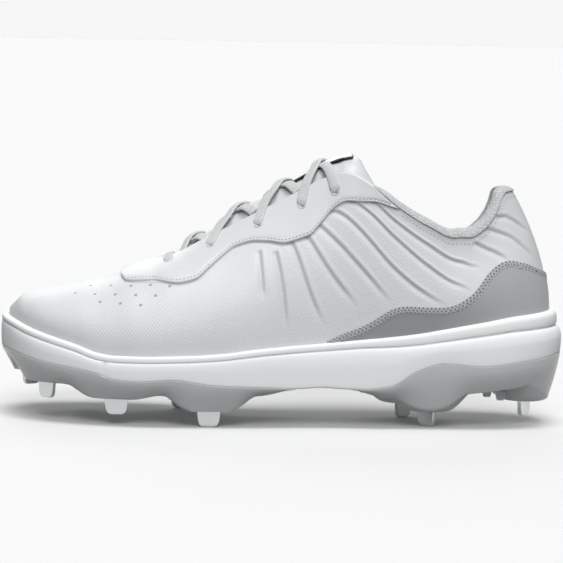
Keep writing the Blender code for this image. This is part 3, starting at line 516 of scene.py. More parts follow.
def sole_depth(name, along):
    return CUP_DEPTH * column(SOLE, SOLE_COLUMNS, name, along)


def edge_height(along):
    """Height of the upper's edge or ridge above the rim."""
    of_heel = column(EDGE, EDGE_COLUMNS, "of_heel", along)
    of_instep = column(EDGE, EDGE_COLUMNS, "of_instep", along)
    return of_heel * HEEL_RISE + of_instep * INSTEP_RISE


def edge_y(along, side):
    """The edge's place across: the throat closes in a half round at its front."""
    gap = column(EDGE, EDGE_COLUMNS, "gap", along)
    close = np.clip((along - THROAT_FRONT_SHARE + THROAT_ROUND_SHARE) / THROAT_ROUND_SHARE, 0, 1)
    gap = gap * np.sqrt(1 - close**2)
    drift = column(MIDDLE, MIDDLE_COLUMNS, "drift", along)
    return BALL_WIDTH * (drift + side * gap)


def upper_point(along, side, share):
    """A point of the upper's outer face. share is 0 at the rim and 1 at the edge, and below 0 it
    goes down the skirt inside the midsole's cup."""
    along, side, share = (np.asarray(v, float) for v in (along, side, share))
    foot_y, top_y = plan_y(along, side), edge_y(along, side)
    rim, height = sole_height("rim", along), edge_height(along)
    fullness = {name: column(FULLNESS, FULLNESS_COLUMNS, name, along) for name in FULLNESS_COLUMNS[1:]}
    width = foot_y - top_y
    y = (foot_y, foot_y + side * BALL_WIDTH * fullness["bulge"], top_y + fullness["run"] * width, top_y)
    z = (0, fullness["rise"] * height, (1 - fullness["drop"]) * height, height)
    v = np.clip(share, 0, 1)
    across, up = cubic(v, y), cubic(v, z)
    lean = HEEL_LEAN * (np.maximum(up, 0) / HEEL_RISE) ** LEAN_POWER
    lean = lean * np.clip(1 - along / LEAN_SHARE, 0, 1) ** 2
    down = np.minimum(share, 0) * CUP_DEPTH
    return np.stack([LAST_LENGTH * along + lean, across, rim + up + down], axis=-1)


def upper_normal(along, side, share):
    """Outward direction of the upper's face, from points a little to each side."""
    angle = np.clip(angle_of(along), TURN_STEP, math.pi - TURN_STEP)
    share = np.clip(share, SHARE_STEP, 1 - SHARE_STEP)
    ahead = upper_point(along_of(angle + TURN_STEP), side, share)
    behind = upper_point(along_of(angle - TURN_STEP), side, share)
    above = upper_point(along_of(angle), side, share + SHARE_STEP)
    below = upper_point(along_of(angle), side, share - SHARE_STEP)
    return unit(np.cross(ahead - behind, above - below) * -np.asarray(side, float)[..., None])


def off_upper(along, side, share, distance):
    lift = np.asarray(distance)[..., None]
    return upper_point(along, side, share) + upper_normal(along, side, share) * lift


def share_below_edge(along, side, distance):
    """The share of a section that lies a distance below its edge, along the face."""
    shares = np.linspace(1, 0, 101)
    path = upper_point(np.full(101, along), np.full(101, side), shares)
    return float(np.interp(distance, run_of(path), shares))


def two_sided(outer, inner):
    """Stations of the outer side and then of the inner side, and the side of each."""
    return np.concatenate([outer, inner]), np.concatenate([np.ones(len(outer)), -np.ones(len(inner))])


def loop(along):
    """Station and side of each column of the whole loop: heel, outer side, toe, inner side."""
    return two_sided(along, along[-2:0:-1])


def heel_stations(end, round_count, side_count, start=0.0):
    """Stations from the heel's back along its round, and then evenly to the end."""
    heel = along_of(np.linspace(start, angle_of(HEEL_ROUND), round_count))
    return np.concatenate([heel, np.linspace(HEEL_ROUND, end, side_count)[1:]])


def ring(along, side, out, height):
    """A loop that stands out from the last's plan by a distance, at a height."""
    angle = angle_of(along)
    turn = np.where(side > 0, angle, 2 * math.pi - angle)

    def plan(at):
        at = np.mod(at, 2 * math.pi)
        outer = at <= math.pi
        station = along_of(np.where(outer, at, 2 * math.pi - at))
        return np.stack([LAST_LENGTH * station, plan_y(station, np.where(outer, 1, -1))], axis=-1)

    tangent = plan(turn + TURN_STEP) - plan(turn - TURN_STEP)
    normal = unit(np.stack([-tangent[:, 1], tangent[:, 0]], axis=-1))
    flat = plan(turn) + normal * np.broadcast_to(out, along.shape)[:, None]
    return np.column_stack([flat, np.broadcast_to(height, along.shape)])


def bed_height(along):
    return sole_height("rim", along) - CUP_DEPTH


def plate_cover(along):
    """How much of the midsole's side the plates cover: 1 along a plate and 0 in the bare arch."""
    _, front_end, _ = PLATES[0]
    _, heel_end, _ = PLATES[1]
    front = np.clip((along - front_end) / PLATE_FADE_SHARE, 0, 1)
    heel = np.clip((heel_end - along) / PLATE_FADE_SHARE, 0, 1)
    return np.sqrt(np.maximum(front, heel))


def under_height(along):
    return sole_height("under", along)


def side_line(along):
    """Height of the line between the midsole and a plate, never under the sole's bottom corner."""
    return np.maximum(sole_height("plate", along), under_height(along) + CLEARANCE)


def corner_out(along):
    """How far the bottom corner of the sole stands out from the last: a little inside it."""
    return sole_depth("bulge", along) - 1.25 * CUP_DEPTH


def arch(outer, outer_dir, inner, inner_dir, crown, steps):
    """Points over the throat from its outer to its inner side, leaving both along the upper and
    passing through the crown."""
    halves = []
    middle = np.array([0.5 * (outer[0] + inner[0]), 0.5 * (outer[1] + inner[1]), crown])
    for start, way in ((outer, outer_dir), (inner, inner_dir)):
        across = abs(start[1] - middle[1])
        rise = max(crown - start[2], 1e-5)
        reach = min(0.62 * across / max(abs(way[1]), 1e-6), 0.92 * rise / max(way[2], 1e-6))
        handle = start + way * reach
        flat = middle + np.array([0, 0.5 * (start[1] - middle[1]), 0])
        u = np.linspace(0, 1, steps + 1)[:, None]
        halves.append(cubic(u, (start, handle, flat, middle)))
    return np.concatenate([halves[0], halves[1][-2::-1]])


def cover_row(along, side_share, crown, offset, steps, side_steps):
    """A row across the throat at a station: up the upper's face from side_share to the tuck, over
    the crown, and down the other side, a distance off the upper's outer face."""
    tuck = share_below_edge(along, 1, 0.0) if side_share >= 1 else min(TONGUE_TUCK_SHARE, 1)
    flanks, ends, ways = [], [], []
    for side in (1, -1):
        shares = np.linspace(side_share, tuck, side_steps + 1)
        flank = off_upper(np.full(len(shares), along), np.full(len(shares), side), shares, offset)
        way = flank[-1] - off_upper(along, side, tuck - 0.03, offset)
        flanks.append(flank)
        ends.append(flank[-1])
        ways.append(unit(way))
    middle = arch(ends[0], ways[0], ends[1], ways[1], crown, steps)
    return np.concatenate([flanks[0][:-1], middle, flanks[1][-2::-1]])


def crown_height(along):
    edge = sole_height("rim", along) + edge_height(along)
    return edge + INSTEP_RISE * column(TONGUE, TONGUE_COLUMNS, "crown", along)


def tongue_rows(offset, steps, side_steps):
    """Rows of the tongue from under the vamp to the throat's top, then its free end."""
    first, last = TONGUE[0][0], TONGUE[-1][0]
    rows = []
    for along in np.linspace(last, first, TONGUE_ROWS):
        side_share = float(column(TONGUE, TONGUE_COLUMNS, "side", along))
        rows.append(cover_row(along, side_share, float(crown_height(along)), offset, steps, side_steps))
    top, before = rows[-1], rows[-2]
    middle = top[len(top) // 2]
    slope = unit(middle - before[len(top) // 2])
    for share in (0.4, 0.75, 1.0):
        row = top.copy()
        row[:, 1] = middle[1] + (row[:, 1] - middle[1]) * (1 - TONGUE_NARROW_SHARE * share**2)
        row[:, 0] += slope[0] * TONGUE_FREE_LENGTH * share
        row[:, 2] += slope[2] * TONGUE_FREE_LENGTH * share * (1 - TONGUE_CURL_SHARE * share)
        rows.append(row)
    return np.array(rows)


def row_normals(grid):
    """Upward normals of a grid of points."""
    down = np.gradient(grid, axis=0)
    across = np.gradient(grid, axis=1)
    normal = unit(np.cross(down, across))
    return normal * np.sign(normal[:, grid.shape[1] // 2, 2])[:, None, None]


def throat_row(along):
    """The row that the lace's middle follows over the eyestay and the tongue, inner eyelet to outer."""
    offset = LACE_GAP + OVERLAY_GAP + OVERLAY_WALL + 0.5 * LACE_THICKNESS
    starts, ways = [], []
    for side in (1, -1):
        share = share_below_edge(along, side, EYELET_INSET)
        start = off_upper(along, side, share, offset)
        way = off_upper(along, side, share + 0.03, offset) - start
        starts.append(start)
        ways.append(unit(way))
    edge = float(sole_height("rim", along) + edge_height(along))
    crown = max(float(crown_height(along)), edge) + OVERLAY_WALL + 0.5 * LACE_THICKNESS + 3 * CLEARANCE
    return arch(starts[1], ways[1], starts[0], ways[0], crown, 24)


def stud_place(row):
    _, along, across, clear, turn = row
    return LAST_LENGTH * along, BALL_WIDTH * across, STUD_SEAT_HEIGHT * clear, math.radians(turn)


def seat_height(row):
    """Height of the flat seat that a stud's blade comes out of."""
    return stud_place(row)[2] + STUD_SEAT_HEIGHT


def frame_place():
    """Where the last's heel stands in the frame, from a stud that the tables place."""
    low, high = (np.array(corner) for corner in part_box("stud_ball_lateral"))
    row = next(row for row in STUDS if row[0] == "stud_ball_lateral")
    x, y, _, _ = stud_place(row)
    return np.array([0.5 * (low[0] + high[0]) - x, 0.5 * (low[1] + high[1]) - y, low[2]])


PLACE = frame_place()


def add_node(tree, kind, settings=None, inputs=None):
    """A node with its settings, and then the values or links of its sockets."""
    made = tree.nodes.new(kind)
    for key, value in (settings or {}).items():
        setattr(made, key, value)
    for key, value in (inputs or {}).items():
        if isinstance(value, bpy.types.NodeSocket):
            tree.links.new(value, made.inputs[key])
        else:
            made.inputs[key].default_value = value
    return made


class Wire:
    """An output of a shader node that plain arithmetic can be written with."""

    def __init__(self, finish, socket):
        self.finish = finish
        self.socket = socket

    def worked(self, operation, first, second=None):
        inputs = {0: first} if second is None else {0: first, 1: second}
        return self.finish.node("ShaderNodeMath", {"operation": operation}, inputs)

    def __add__(self, other):
        return self.worked("ADD", self, other)

    __radd__ = __add__

    def __mul__(self, other):
        return self.worked("MULTIPLY", self, other)

    __rmul__ = __mul__

    def __sub__(self, other):
        return self.worked("SUBTRACT", self, other)

    def __rsub__(self, other):
        return self.worked("SUBTRACT", other, self)

    def __truediv__(self, other):
        return self.worked("DIVIDE", self, other)

    def __pow__(self, other):
        return self.worked("POWER", self, other)

    def wave(self):
        """Half a sine's height above its low point, from 0 to 1."""
        return self.worked("SINE", self) * 0.5 + 0.5

    def between(self, low, high):
        """0 at low and 1 at high, held outside them."""
        settings = {"clamp": True, "interpolation_type": "SMOOTHSTEP"}
        return self.finish.node("ShaderNodeMapRange", settings, {"Value": self, 1: low, 2: high})


class Finish:
    """A material round one Principled shader."""

    def __init__(self, name, roughness, **values):
        self.material = bpy.data.materials.new(name)
        self.material.use_nodes = True
        self.tree = self.material.node_tree
        self.shader = self.tree.nodes["Principled BSDF"]
        self.shader.inputs["Roughness"].default_value = roughness
        for key, value in values.items():
            self.shader.inputs[key.replace("_", " ").title().replace("Ior", "IOR")].default_value = value
        self.place = self.node("ShaderNodeTexCoord", output="Object")

    def node(self, kind, settings=None, inputs=None, output=0):
        inputs = {key: getattr(value, "socket", value) for key, value in (inputs or {}).items()}
        return Wire(self, add_node(self.tree, kind, settings, inputs).outputs[output])

    def noise(self, scale, detail=2.0, roughness=0.5, at=None):
        inputs = {"Vector": at or self.place, "Scale": scale, "Detail": detail, "Roughness": roughness}
        return self.node("ShaderNodeTexNoise", None, inputs)

    def cells(self, scale, feature="F1", at=None, spread=1.0):
        inputs = {"Vector": at or self.place, "Scale": scale, "Randomness": spread}
        return self.node("ShaderNodeTexVoronoi", {"feature": feature}, inputs)

    def mark(self, name):
        return self.node("ShaderNodeAttribute", {"attribute_name": name}, output="Fac")

    def axes(self, at=None):
        """The three coordinates of a place, or of the piece's own UV map."""
        inputs = {0: at or self.place}
        return [self.node("ShaderNodeSeparateXYZ", None, inputs, output=i) for i in range(3)]

    def surface(self):
        return self.node("ShaderNodeUVMap", {"uv_map": "Surface"})

    def mix(self, share, first, second):
        inputs = {0: share}
        for key, value in ((6, first), (7, second)):
            inputs[key] = value if isinstance(value, Wire) else (*value, 1.0)
        return self.node("ShaderNodeMix", {"data_type": "RGBA"}, inputs, output=2)

    def colour(self, value):
        if isinstance(value, Wire):
            self.tree.links.new(value.socket, self.shader.inputs["Base Color"])
        else:
            self.shader.inputs["Base Color"].default_value = (*value, 1.0)

    def roughness(self, value):
        self.tree.links.new(value.socket, self.shader.inputs["Roughness"])

    def bump(self, layers):
        """Layers of height, each with its depth in metres, one over the other."""
        below = None
        for height, depth in layers:
            inputs = {"Height": height, "Distance": depth, "Strength": 1.0}
            if below:
                inputs["Normal"] = below
            below = self.node("ShaderNodeBump", None, inputs)
        self.tree.links.new(below.socket, self.shader.inputs["Normal"])


def toned(colour, factor):
    return tuple(min(1.0, channel * factor) for channel in colour)


def leather_finish(name, colour, roughness, grain, hatch=True):
    """Coated leather: fine pebbles, faint drift in tone, and a pressed hatch where marked."""
    finish = Finish(name, roughness, specular_ior_level=0.42, coat_weight=0.06, coat_roughness=0.35)
    pebbles = finish.cells(1150.0)
    drift = finish.noise(38.0, 3.0)
    folds = finish.noise(210.0, 4.0, 0.6)
    tone = finish.mix(drift, toned(colour, 0.965), toned(colour, 1.02))
    layers = [(folds, 0.00010), (pebbles, grain)]
    if hatch:
        x, _, z = finish.axes()
        weave = finish.mark("weave")
        slant = finish.mark("slant")
        fine = ((x * 0.62 + z) * 4300.0 + finish.noise(120.0) * 2.2).wave()
        steep = ((x * 1.0 - z * 0.9) * 3300.0 + finish.noise(120.0) * 2.2).wave()
        lines = fine * weave + steep * slant
        painted_shade_trough = finish.mark("painted_shade_trough")
        # Painted shade: the leather darkens where marked, beside the ribs and under the eyestay's lower
        # edge.
        tone = finish.mix(painted_shade_trough, tone, toned(colour, 0.72))
        # Painted shade: the hatch's pressed lines are also a little darker in colour.
        tone = finish.mix(lines * 0.08, tone, toned(colour, 0.78))
        layers.append((lines, 0.00005))
    finish.colour(tone)
    finish.roughness(finish.noise(90.0, 3.0) * 0.10 + (roughness - 0.05))
    finish.bump(layers)
    return finish.material


def knit_finish(name, light, dark, pitch):
    """Spacer knit: small open cells in slanted rows, with yarn fuzz."""
    finish = Finish(name, 0.88, sheen_weight=0.25, sheen_roughness=0.5, specular_ior_level=0.25)
    holes = finish.cells(1.0 / pitch, spread=0.55)
    yarn = finish.noise(2.6 / pitch, 3.0, 0.7)
    finish.colour(finish.mix(holes.between(0.18, 0.62), dark, light))
    finish.bump([(holes, 0.5 * pitch), (yarn, 0.18 * pitch)])
    return finish.material


def panel_finish(name, colour):
    """The heel panel: smooth coated grey, lighter towards the back, with a knitted strip on its edge."""
    finish = Finish(name, 0.5, specular_ior_level=0.4)
    x, _, _ = finish.axes()
    fade = (x * -1.0).between(0.070, 0.150)
    body = finish.mix(fade, toned(colour, 0.86), toned(colour, 1.45))
    body = finish.mix(finish.noise(500.0, 2.0) * 0.12, body, toned(colour, 0.7))
    run, depth, _ = finish.axes(finish.surface())
    strip = 1.0 - depth.between(STRIP_WIDTH - 0.0002, STRIP_WIDTH + 0.0001)
    rising, falling = (run * 2992.0 + depth * 2618.0).wave(), (run * 2992.0 - depth * 2618.0).wave()
    ticks = (rising * falling).between(0.34, 0.56)
    knit = finish.mix(ticks, toned(colour, 1.35), toned(colour, 0.52))
    finish.colour(finish.mix(strip, body, knit))
    finish.roughness(strip * 0.35 + 0.48)
    finish.bump([(finish.noise(1400.0, 2.0), 0.00005), (ticks * strip, 0.00022)])
    return finish.material


def foam_finish(name, colour):
    """Moulded foam with a thin painted skin: satin, with faint flow marks."""
    finish = Finish(name, 0.42, specular_ior_level=0.45, subsurface_weight=0.04, subsurface_scale=0.004)
    drift = finish.noise(24.0, 3.0)
    skin = finish.noise(1700.0, 2.0)
    groove = finish.mark("groove")
    tone = finish.mix(drift, toned(colour, 0.975), toned(colour, 1.01))
    # Painted shade: the foam darkens along the marked crease and toe line.
    finish.colour(finish.mix(groove, tone, toned(colour, 0.74)))
    finish.roughness(finish.noise(70.0, 3.0) * 0.12 + 0.36)
    finish.bump([(finish.noise(60.0, 2.0), 0.00012), (skin, 0.00003)])
    return finish.material


def plate_finish(name, colour):
    """Moulded grey plastic with a soft gloss and a fine, faint texture."""
    finish = Finish(name, 0.34, specular_ior_level=0.5, coat_weight=0.15, coat_roughness=0.2)
    drift = finish.noise(30.0, 3.0)
    speck = finish.noise(900.0, 2.0)
    finish.colour(finish.mix(drift, toned(colour, 0.93), toned(colour, 1.07)))
    finish.roughness(finish.noise(160.0, 3.0) * 0.14 + 0.26)
    finish.bump([(finish.noise(85.0, 2.0), 0.00010), (speck, 0.00003)])
    return finish.material


def steel_finish(name, colour):
    """Stamped steel: bright, with long fine scratches and a few dull patches."""
    finish = Finish(name, 0.2, metallic=1.0)
    stretch = finish.node(
        "ShaderNodeVectorMath", {"operation": "MULTIPLY"}, {0: finish.place, 1: (1.0, 1.0, 9.0)}
    )
    scratch = finish.noise(900.0, 3.0, 0.6, stretch)
    dull = finish.noise(190.0, 3.0)
    finish.colour(finish.mix(dull, toned(colour, 0.86), toned(colour, 1.12)))
    finish.roughness(scratch * 0.14 + dull * 0.10 + 0.10)
    finish.bump([(scratch, 0.00002)])
    return finish.material


def lace_finish(name, colour):
    """Flat woven lace: a herringbone of fine yarns that follows the lace."""
    finish = Finish(name, 0.8, sheen_weight=0.3, specular_ior_level=0.25)
    across, run, _ = finish.axes(finish.surface())
    fold = (across * 2.0 - 1.0).worked("ABSOLUTE", across * 2.0 - 1.0)
    weave = (run * 5200.0 + fold * 16.0).wave()
    tone = finish.mix(weave, toned(colour, 0.84), toned(colour, 1.0))
    finish.colour(tone)
    finish.bump([(weave, 0.00028), (finish.noise(2600.0, 2.0), 0.00006)])
    return finish.material


def plain_finish(name, colour, roughness, rough_scale=700.0, depth=0.00004):
    """A small part's finish: one colour with slight drift and a fine grain."""
    finish = Finish(name, roughness)
    finish.colour(finish.mix(finish.noise(120.0, 3.0), toned(colour, 0.9), toned(colour, 1.06)))
    finish.roughness(finish.noise(rough_scale, 2.0) * 0.12 + (roughness - 0.06))
    finish.bump([(finish.noise(rough_scale, 3.0), depth)])
    return finish.material


def cached(name, make, *values):
    """A material by its name, made the first time that a piece asks for it."""
    return bpy.data.materials.get(name) or make(name, *values)


def looks():
    return bpy.context.scene.cleat_looks


def sizes():
    return bpy.context.scene.cleat_sizes


def white_leather():
    return cached("white_leather", leather_finish, tuple(looks().leather), 0.46, 0.00007)


def smooth_leather():
    colour = toned(tuple(looks().leather), 1.015)
    return cached("smooth_leather", leather_finish, colour, 0.40, 0.00004, False)


def lining_knit():
    light = tuple(looks().lining)
    return cached("lining_knit", knit_finish, light, toned(light, 0.70), 0.0008)


def placed(name, data):
    """A new object of the scene round a mesh, a lamp or a camera."""
    made = bpy.data.objects.new(name, data)
    bpy.context.scene.collection.objects.link(made)
    return made


def add_piece(name, points, faces, finishes, part=None, uv=None, marks=None, angle=50.0):
    """A piece in the frame's own place, with doubled points joined and faces turned out."""
    mesh = bpy.data.meshes.new(name)
    mesh.from_pydata((np.asarray(points) + PLACE).tolist(), [], [tuple(map(int, face)) for face in faces])
    for finish in finishes:
        mesh.materials.append(finish)
    if part is not None:
        mesh.polygons.foreach_set("material_index", np.asarray(part, np.int32))
    for mark, values in (marks or {}).items():
        layer = mesh.attributes.new(mark, "FLOAT", "POINT")
        layer.data.foreach_set("value", np.asarray(values, np.float32).ravel())
    if uv is not None:
        layer = mesh.uv_layers.new(name="Surface")
        corners = np.empty(len(mesh.loops), np.int32)
        mesh.loops.foreach_get("vertex_index", corners)
        layer.data.foreach_set("uv", np.asarray(uv, np.float32).reshape(-1, 2)[corners].ravel())
    shape = bmesh.new()
    shape.from_mesh(mesh)
    bmesh.ops.remove_doubles(shape, verts=shape.verts, dist=JOIN_DISTANCE)
    bmesh.ops.dissolve_degenerate(shape, edges=shape.edges, dist=0.5 * JOIN_DISTANCE)
    bmesh.ops.recalc_face_normals(shape, faces=shape.faces)
    shape.to_mesh(mesh)
    shape.free()
    mesh.shade_smooth()
    mesh.set_sharp_from_angle(angle=math.radians(angle))
    return placed(name, mesh)


def dress(piece, *nodes):
    """The piece stands for these nodes of the frame."""
    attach(piece, "root")
    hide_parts(*nodes)
    return piece


def detail(piece, slot):
    """An extra piece that takes its finish from a slot of the record."""
    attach(piece, "root")
    return piece


def quads(rows, columns, first=0, closed=False):
    """Quads of a grid whose points run row by row, as an array."""
    wide = columns if closed else columns - 1
    row, col = np.meshgrid(np.arange(rows - 1), np.arange(wide), indexing="ij")
    a = first + row * columns + col
    b = first + row * columns + (col + 1) % columns
    return np.stack([a, b, b + columns, a + columns], axis=-1).reshape(-1, 4)


def slab_faces(rows, columns, far_side=True, kept=slice(None)):
    """Faces of a slab between two grids of points that follow each other: both skins, and a wall on
    each border. kept picks the columns of the last row that get one."""
    size = rows * columns
    col, row = np.arange(columns - 1), np.arange(rows - 1) * columns
    top = size - columns + col[kept]
    walls = [(col + 1, col), (top + 1, top), (row, row + columns)]
    if far_side:
        walls.append((row + columns - 1, row + 2 * columns - 1))
    faces = [quads(rows, columns), quads(rows, columns, size)[:, ::-1]]
    faces += [np.stack([a, b, b + size, a + size], axis=1) for a, b in walls]
    return np.concatenate(faces)


def fine_stations():
    """Stations of the half loop, heel to toe, closest over the ribbed side."""
    side = heel_stations(RIBBED_END, 26, 170)
    waist = np.linspace(RIBBED_END, THROAT_FRONT_SHARE, 72)[1:]
    toe = along_of(np.linspace(angle_of(THROAT_FRONT_SHARE), math.pi, 76))[1:]
    return np.concatenate([side, waist, toe])


def below_edge(along, side, distances):
    """Shares of each section that lie at these distances below its edge, a row for each."""
    shares = np.linspace(1, 0, 161)
    path = upper_point(along[:, None], side[:, None], shares[None, :])
    steps = np.linalg.norm(np.diff(path, axis=1), axis=2)
    runs = np.concatenate([np.zeros((len(along), 1)), np.cumsum(steps, axis=1)], axis=1)
    found = [[np.interp(d, run, shares) for run, d in zip(runs, np.broadcast_to(row, along.shape))]
             for row in distances]
    return np.array(found)


def section_lengths(along, side):
    """Length of each half section along the face, from the rim to the edge."""
    shares = np.linspace(0, 1, 61)
    path = upper_point(along[:, None], side[:, None], shares[None, :])
    return np.linalg.norm(np.diff(path, axis=1), axis=2).sum(axis=1)


def rounded(distance, reach):
    """A quarter round: 0 at an edge and 1 from its reach inwards."""
    inward = 1 - np.clip(distance / reach, 0, 1)
    return np.sqrt(np.maximum(1 - inward * inward, 0))


def hump(distance, width):
    return np.exp(-((distance / width) ** 2))


def edge_drop(along):
    """How far the leather's edge lies below the collar line, where the knit roll covers it."""
    return np.interp(along, (0.0, 0.03, 0.06, 0.10, 0.14, 0.20, 0.28, 0.34), EDGE_DROPS)


def inner_drop(along, side):
    """How far the inner side's collar lies below the outer side's."""
    low = np.interp(along, (0.01, 0.08, 0.14, 0.22, 0.30, 0.36), (0.0, 0.6, 1.0, 1.0, 0.5, 0.0))
    return np.where(side < 0, INNER_DROP * low, 0.0)


def rib_lines():
    """Each rib as a smooth run of (station, share) points."""
    lines = []
    for rib in RIBS:
        knots = np.array(rib)
        knots = np.vstack([knots[0] + 0.45 * (knots[0] - knots[1]), knots])
        at = np.linspace(0, 1, len(knots))
        fine = np.linspace(0, 1, 40)
        lines.append(np.column_stack([softened(np.interp(fine, at, knots[:, i]), 9) for i in range(2)]))
    return lines


def rib_relief(along, share, length):
    """Height of the pressed ribs over the side, and how deep in a trough each place lies."""
    height = np.zeros(along.shape)
    painted_shade_trough = np.zeros(along.shape)
    for line in rib_lines():
        lengths = section_lengths(line[:, 0], np.ones(len(line)))
        path = np.column_stack([LAST_LENGTH * line[:, 0], lengths * line[:, 1]])
        here = np.stack([LAST_LENGTH * along, length * share], axis=-1)
        low, high = path[:, 0].min() - RIB_MARGIN, path[:, 0].max() + RIB_MARGIN
        near = (here[..., 0] > low) & (here[..., 0] < high)
        best = np.full(along.shape, 1.0)
        signed = np.zeros(along.shape)
        fade = np.zeros(along.shape)
        for i, (start, end) in enumerate(zip(path, path[1:])):
            way = end - start
            size = np.hypot(*way)
            at = np.clip(((here - start) @ way) / size**2, 0, 1)
            off = here - (start + at[..., None] * way)
            away = np.hypot(off[..., 0], off[..., 1])
            closer = near & (away < best)
            best = np.where(closer, away, best)
            turn = np.sign(way[0] * off[..., 1] - way[1] * off[..., 0])
            signed = np.where(closer, away * turn, signed)
            fade = np.where(closer, (i + at) / (len(path) - 1), fade)
        ends = np.clip(fade / 0.05, 0, 1) * np.clip((1 - fade) / 0.25, 0, 1)
        near_rib = (best < RIB_REACH) * eased_share(ends)
        ridge = sizes().rib_rise * hump(signed, RIB_WIDTH)
        valley = sizes().rib_dip * hump(signed - 2.2 * RIB_WIDTH, 2.0 * RIB_WIDTH)
        height += near_rib * (ridge - valley)
        # Painted shade: a dark line in the hollow beside each rib.
        painted_shade_trough += near_rib * hump(signed - 1.5 * RIB_WIDTH, 0.9 * RIB_WIDTH)
    return height, np.clip(painted_shade_trough, 0, 1)


def area_mark(along, share, low, high, edge):
    """1 inside a box of stations and shares, fading over its edges."""
    inside = 1.0
    for value, start, end, soft in ((along, low[0], high[0], edge[0]), (share, low[1], high[1], edge[1])):
        rise = np.clip((value - start) / soft, 0, 1)
        fall = np.clip((end - value) / soft, 0, 1)
        inside = inside * eased_share(rise) * eased_share(fall)
    return inside


def make_upper():
    """The hollow shell: skirt, ribbed sides, vamp, a folded edge and a knit-lined inner face."""
    half = fine_stations()
    along, side = loop(half)
    width = len(along)
    partner = (width - np.arange(width)) % width
    lengths = section_lengths(along, side)
    shares = np.concatenate([[-1.0, -0.4], np.linspace(0, 1, 92)])
    top = below_edge(along, side, [edge_drop(along) + inner_drop(along, side)])[0]
    a, s = np.meshgrid(along, shares)
    s = np.where(s > 0, s * top, s)
    side_grid = np.broadcast_to(side, a.shape)
    height, painted_shade_trough = rib_relief(a, np.clip(s, 0, 1), np.broadcast_to(lengths, a.shape))
    stay = np.interp(a, *eyestay_edge(), left=9, right=9)
    groove = hump((stay - s) * lengths - GROOVE_PLACE, GROOVE_WIDTH)
    height = height - GROOVE_DEPTH * groove
    # Painted shade also darkens the groove under the eyestay's lower edge.
    painted_shade_trough = np.clip(painted_shade_trough + 0.9 * groove, 0, 1)
    outer = eased(off_upper(a, side_grid, s, height), along)
    inner_shares = np.concatenate([[-1.0], np.linspace(0, 1, 26)])
    ai, si = np.meshgrid(along, inner_shares)
    si = np.where(si > 0, si * top, si)
    inner = eased(off_upper(ai, np.broadcast_to(side, ai.shape), si, -UPPER_WALL), along)
    ahead = along > THROAT_FRONT_SHARE - 1e-6
    for grid in (outer, inner):
        grid[0, :, 2] = bed_height(along) + 3 * CLEARANCE
        grid[-1, ahead] = 0.5 * (grid[-1] + grid[-1, partner])[ahead]
    up = unit(outer[-1] - outer[-3])
    lips = []
    for share in (0.15, 0.5, 0.85):
        rise = 0.5 * UPPER_WALL * math.sin(math.pi * share)
        lips.append(outer[-1] + (inner[-1] - outer[-1]) * share + up * rise)
    skin = np.concatenate([outer, lips])
    first = len(skin) * width
    open_edge = ~(ahead & np.roll(ahead, -1))
    grid_faces = quads(len(skin), width, closed=True).reshape(-1, width, 4)
    col = np.arange(width)
    after = (col + 1) % width
    top, inner_top = first - width, first + (len(inner) - 1) * width
    faces = [
        grid_faces[:len(outer) - 1].reshape(-1, 4),
        grid_faces[len(outer) - 1:, open_edge].reshape(-1, 4),
        np.stack([top + col, top + after, inner_top + after, inner_top + col], axis=1)[open_edge],
        np.stack([after, col, first + col, first + after], axis=1),
        quads(len(inner), width, first, closed=True)[:, ::-1],
    ]
    part = np.repeat([0, 0, 0, 0, 1], [len(group) for group in faces])
    points = np.concatenate([skin.reshape(-1, 3), inner.reshape(-1, 3)])
    level = np.clip(s, 0, 1)
    marks = {name: area_mark(a, level, *area) for name, area in HATCH_AREAS.items()}
    marks["painted_shade_trough"] = painted_shade_trough
    for name, grid in marks.items():
        marks[name] = np.concatenate([grid.ravel(), np.zeros(len(points) - a.size)])
    finishes = [white_leather(), lining_knit()]
    piece = add_piece("upper_skin", points, np.concatenate(faces), finishes, part, marks=marks, angle=60.0)
    return dress(piece, "upper")


def eased(grid, along):
    """A grid of points, smoothed along the shoe where the vamp meets the throat's front."""
    soft = grid.copy()
    for _ in range(EASE_ROUNDS):
        soft[:, 1:-1] = 0.25 * soft[:, :-2] + 0.5 * soft[:, 1:-1] + 0.25 * soft[:, 2:]
    near = hump(along - THROAT_FRONT_SHARE, EASE_REACH)[:, None]
    return grid + near * (soft - grid)


def patch_rows(lengths, middle, reach):
    """Shares of a patch's own height for each of its rows and columns, closest at both edges."""
    near = reach * np.array([0.0, 0.06, 0.2, 0.45, 0.75, 1.15])
    lengths = np.maximum(lengths, 1e-5)
    low = np.minimum(near[:, None] / lengths, 0.30 * (near / near[-1])[:, None])
    high = 1 - low[::-1]
    inner = np.linspace(0, 1, middle + 2)[1:-1, None]
    inner = low[-1] + (high[0] - low[-1]) * inner
    return np.concatenate([low, inner, high])


def make_patch(along, side, low, high, thick, reach, open_top, middle, extra):
    """Both skins of a round-edged overlay on the upper, between two lines of shares, and how far each
    point lies above the lower line."""
    span = np.clip(high - low, 0, 1) * section_lengths(along, side)
    steps = patch_rows(span, middle, reach)
    share = low + (high - low) * steps
    a = np.broadcast_to(along, share.shape)
    s = np.broadcast_to(side, share.shape)
    from_low, from_high = steps * span, (1 - steps) * span
    ends = np.minimum(np.arange(len(along)), np.arange(len(along))[::-1])
    distance = np.where(open_top, from_low, np.minimum(from_low, from_high))
    height = thick * rounded(distance, reach) * np.clip(ends / 3.0, 0, 1) + OVERLAY_SINK
    height = height + extra(from_low, from_high) * rounded(distance, reach)
    outer = off_upper(a, s, share, height)
    inner = off_upper(a, s, share, np.full(share.shape, OVERLAY_SINK - 0.0002))
    return eased(outer, along), eased(inner, along), from_low


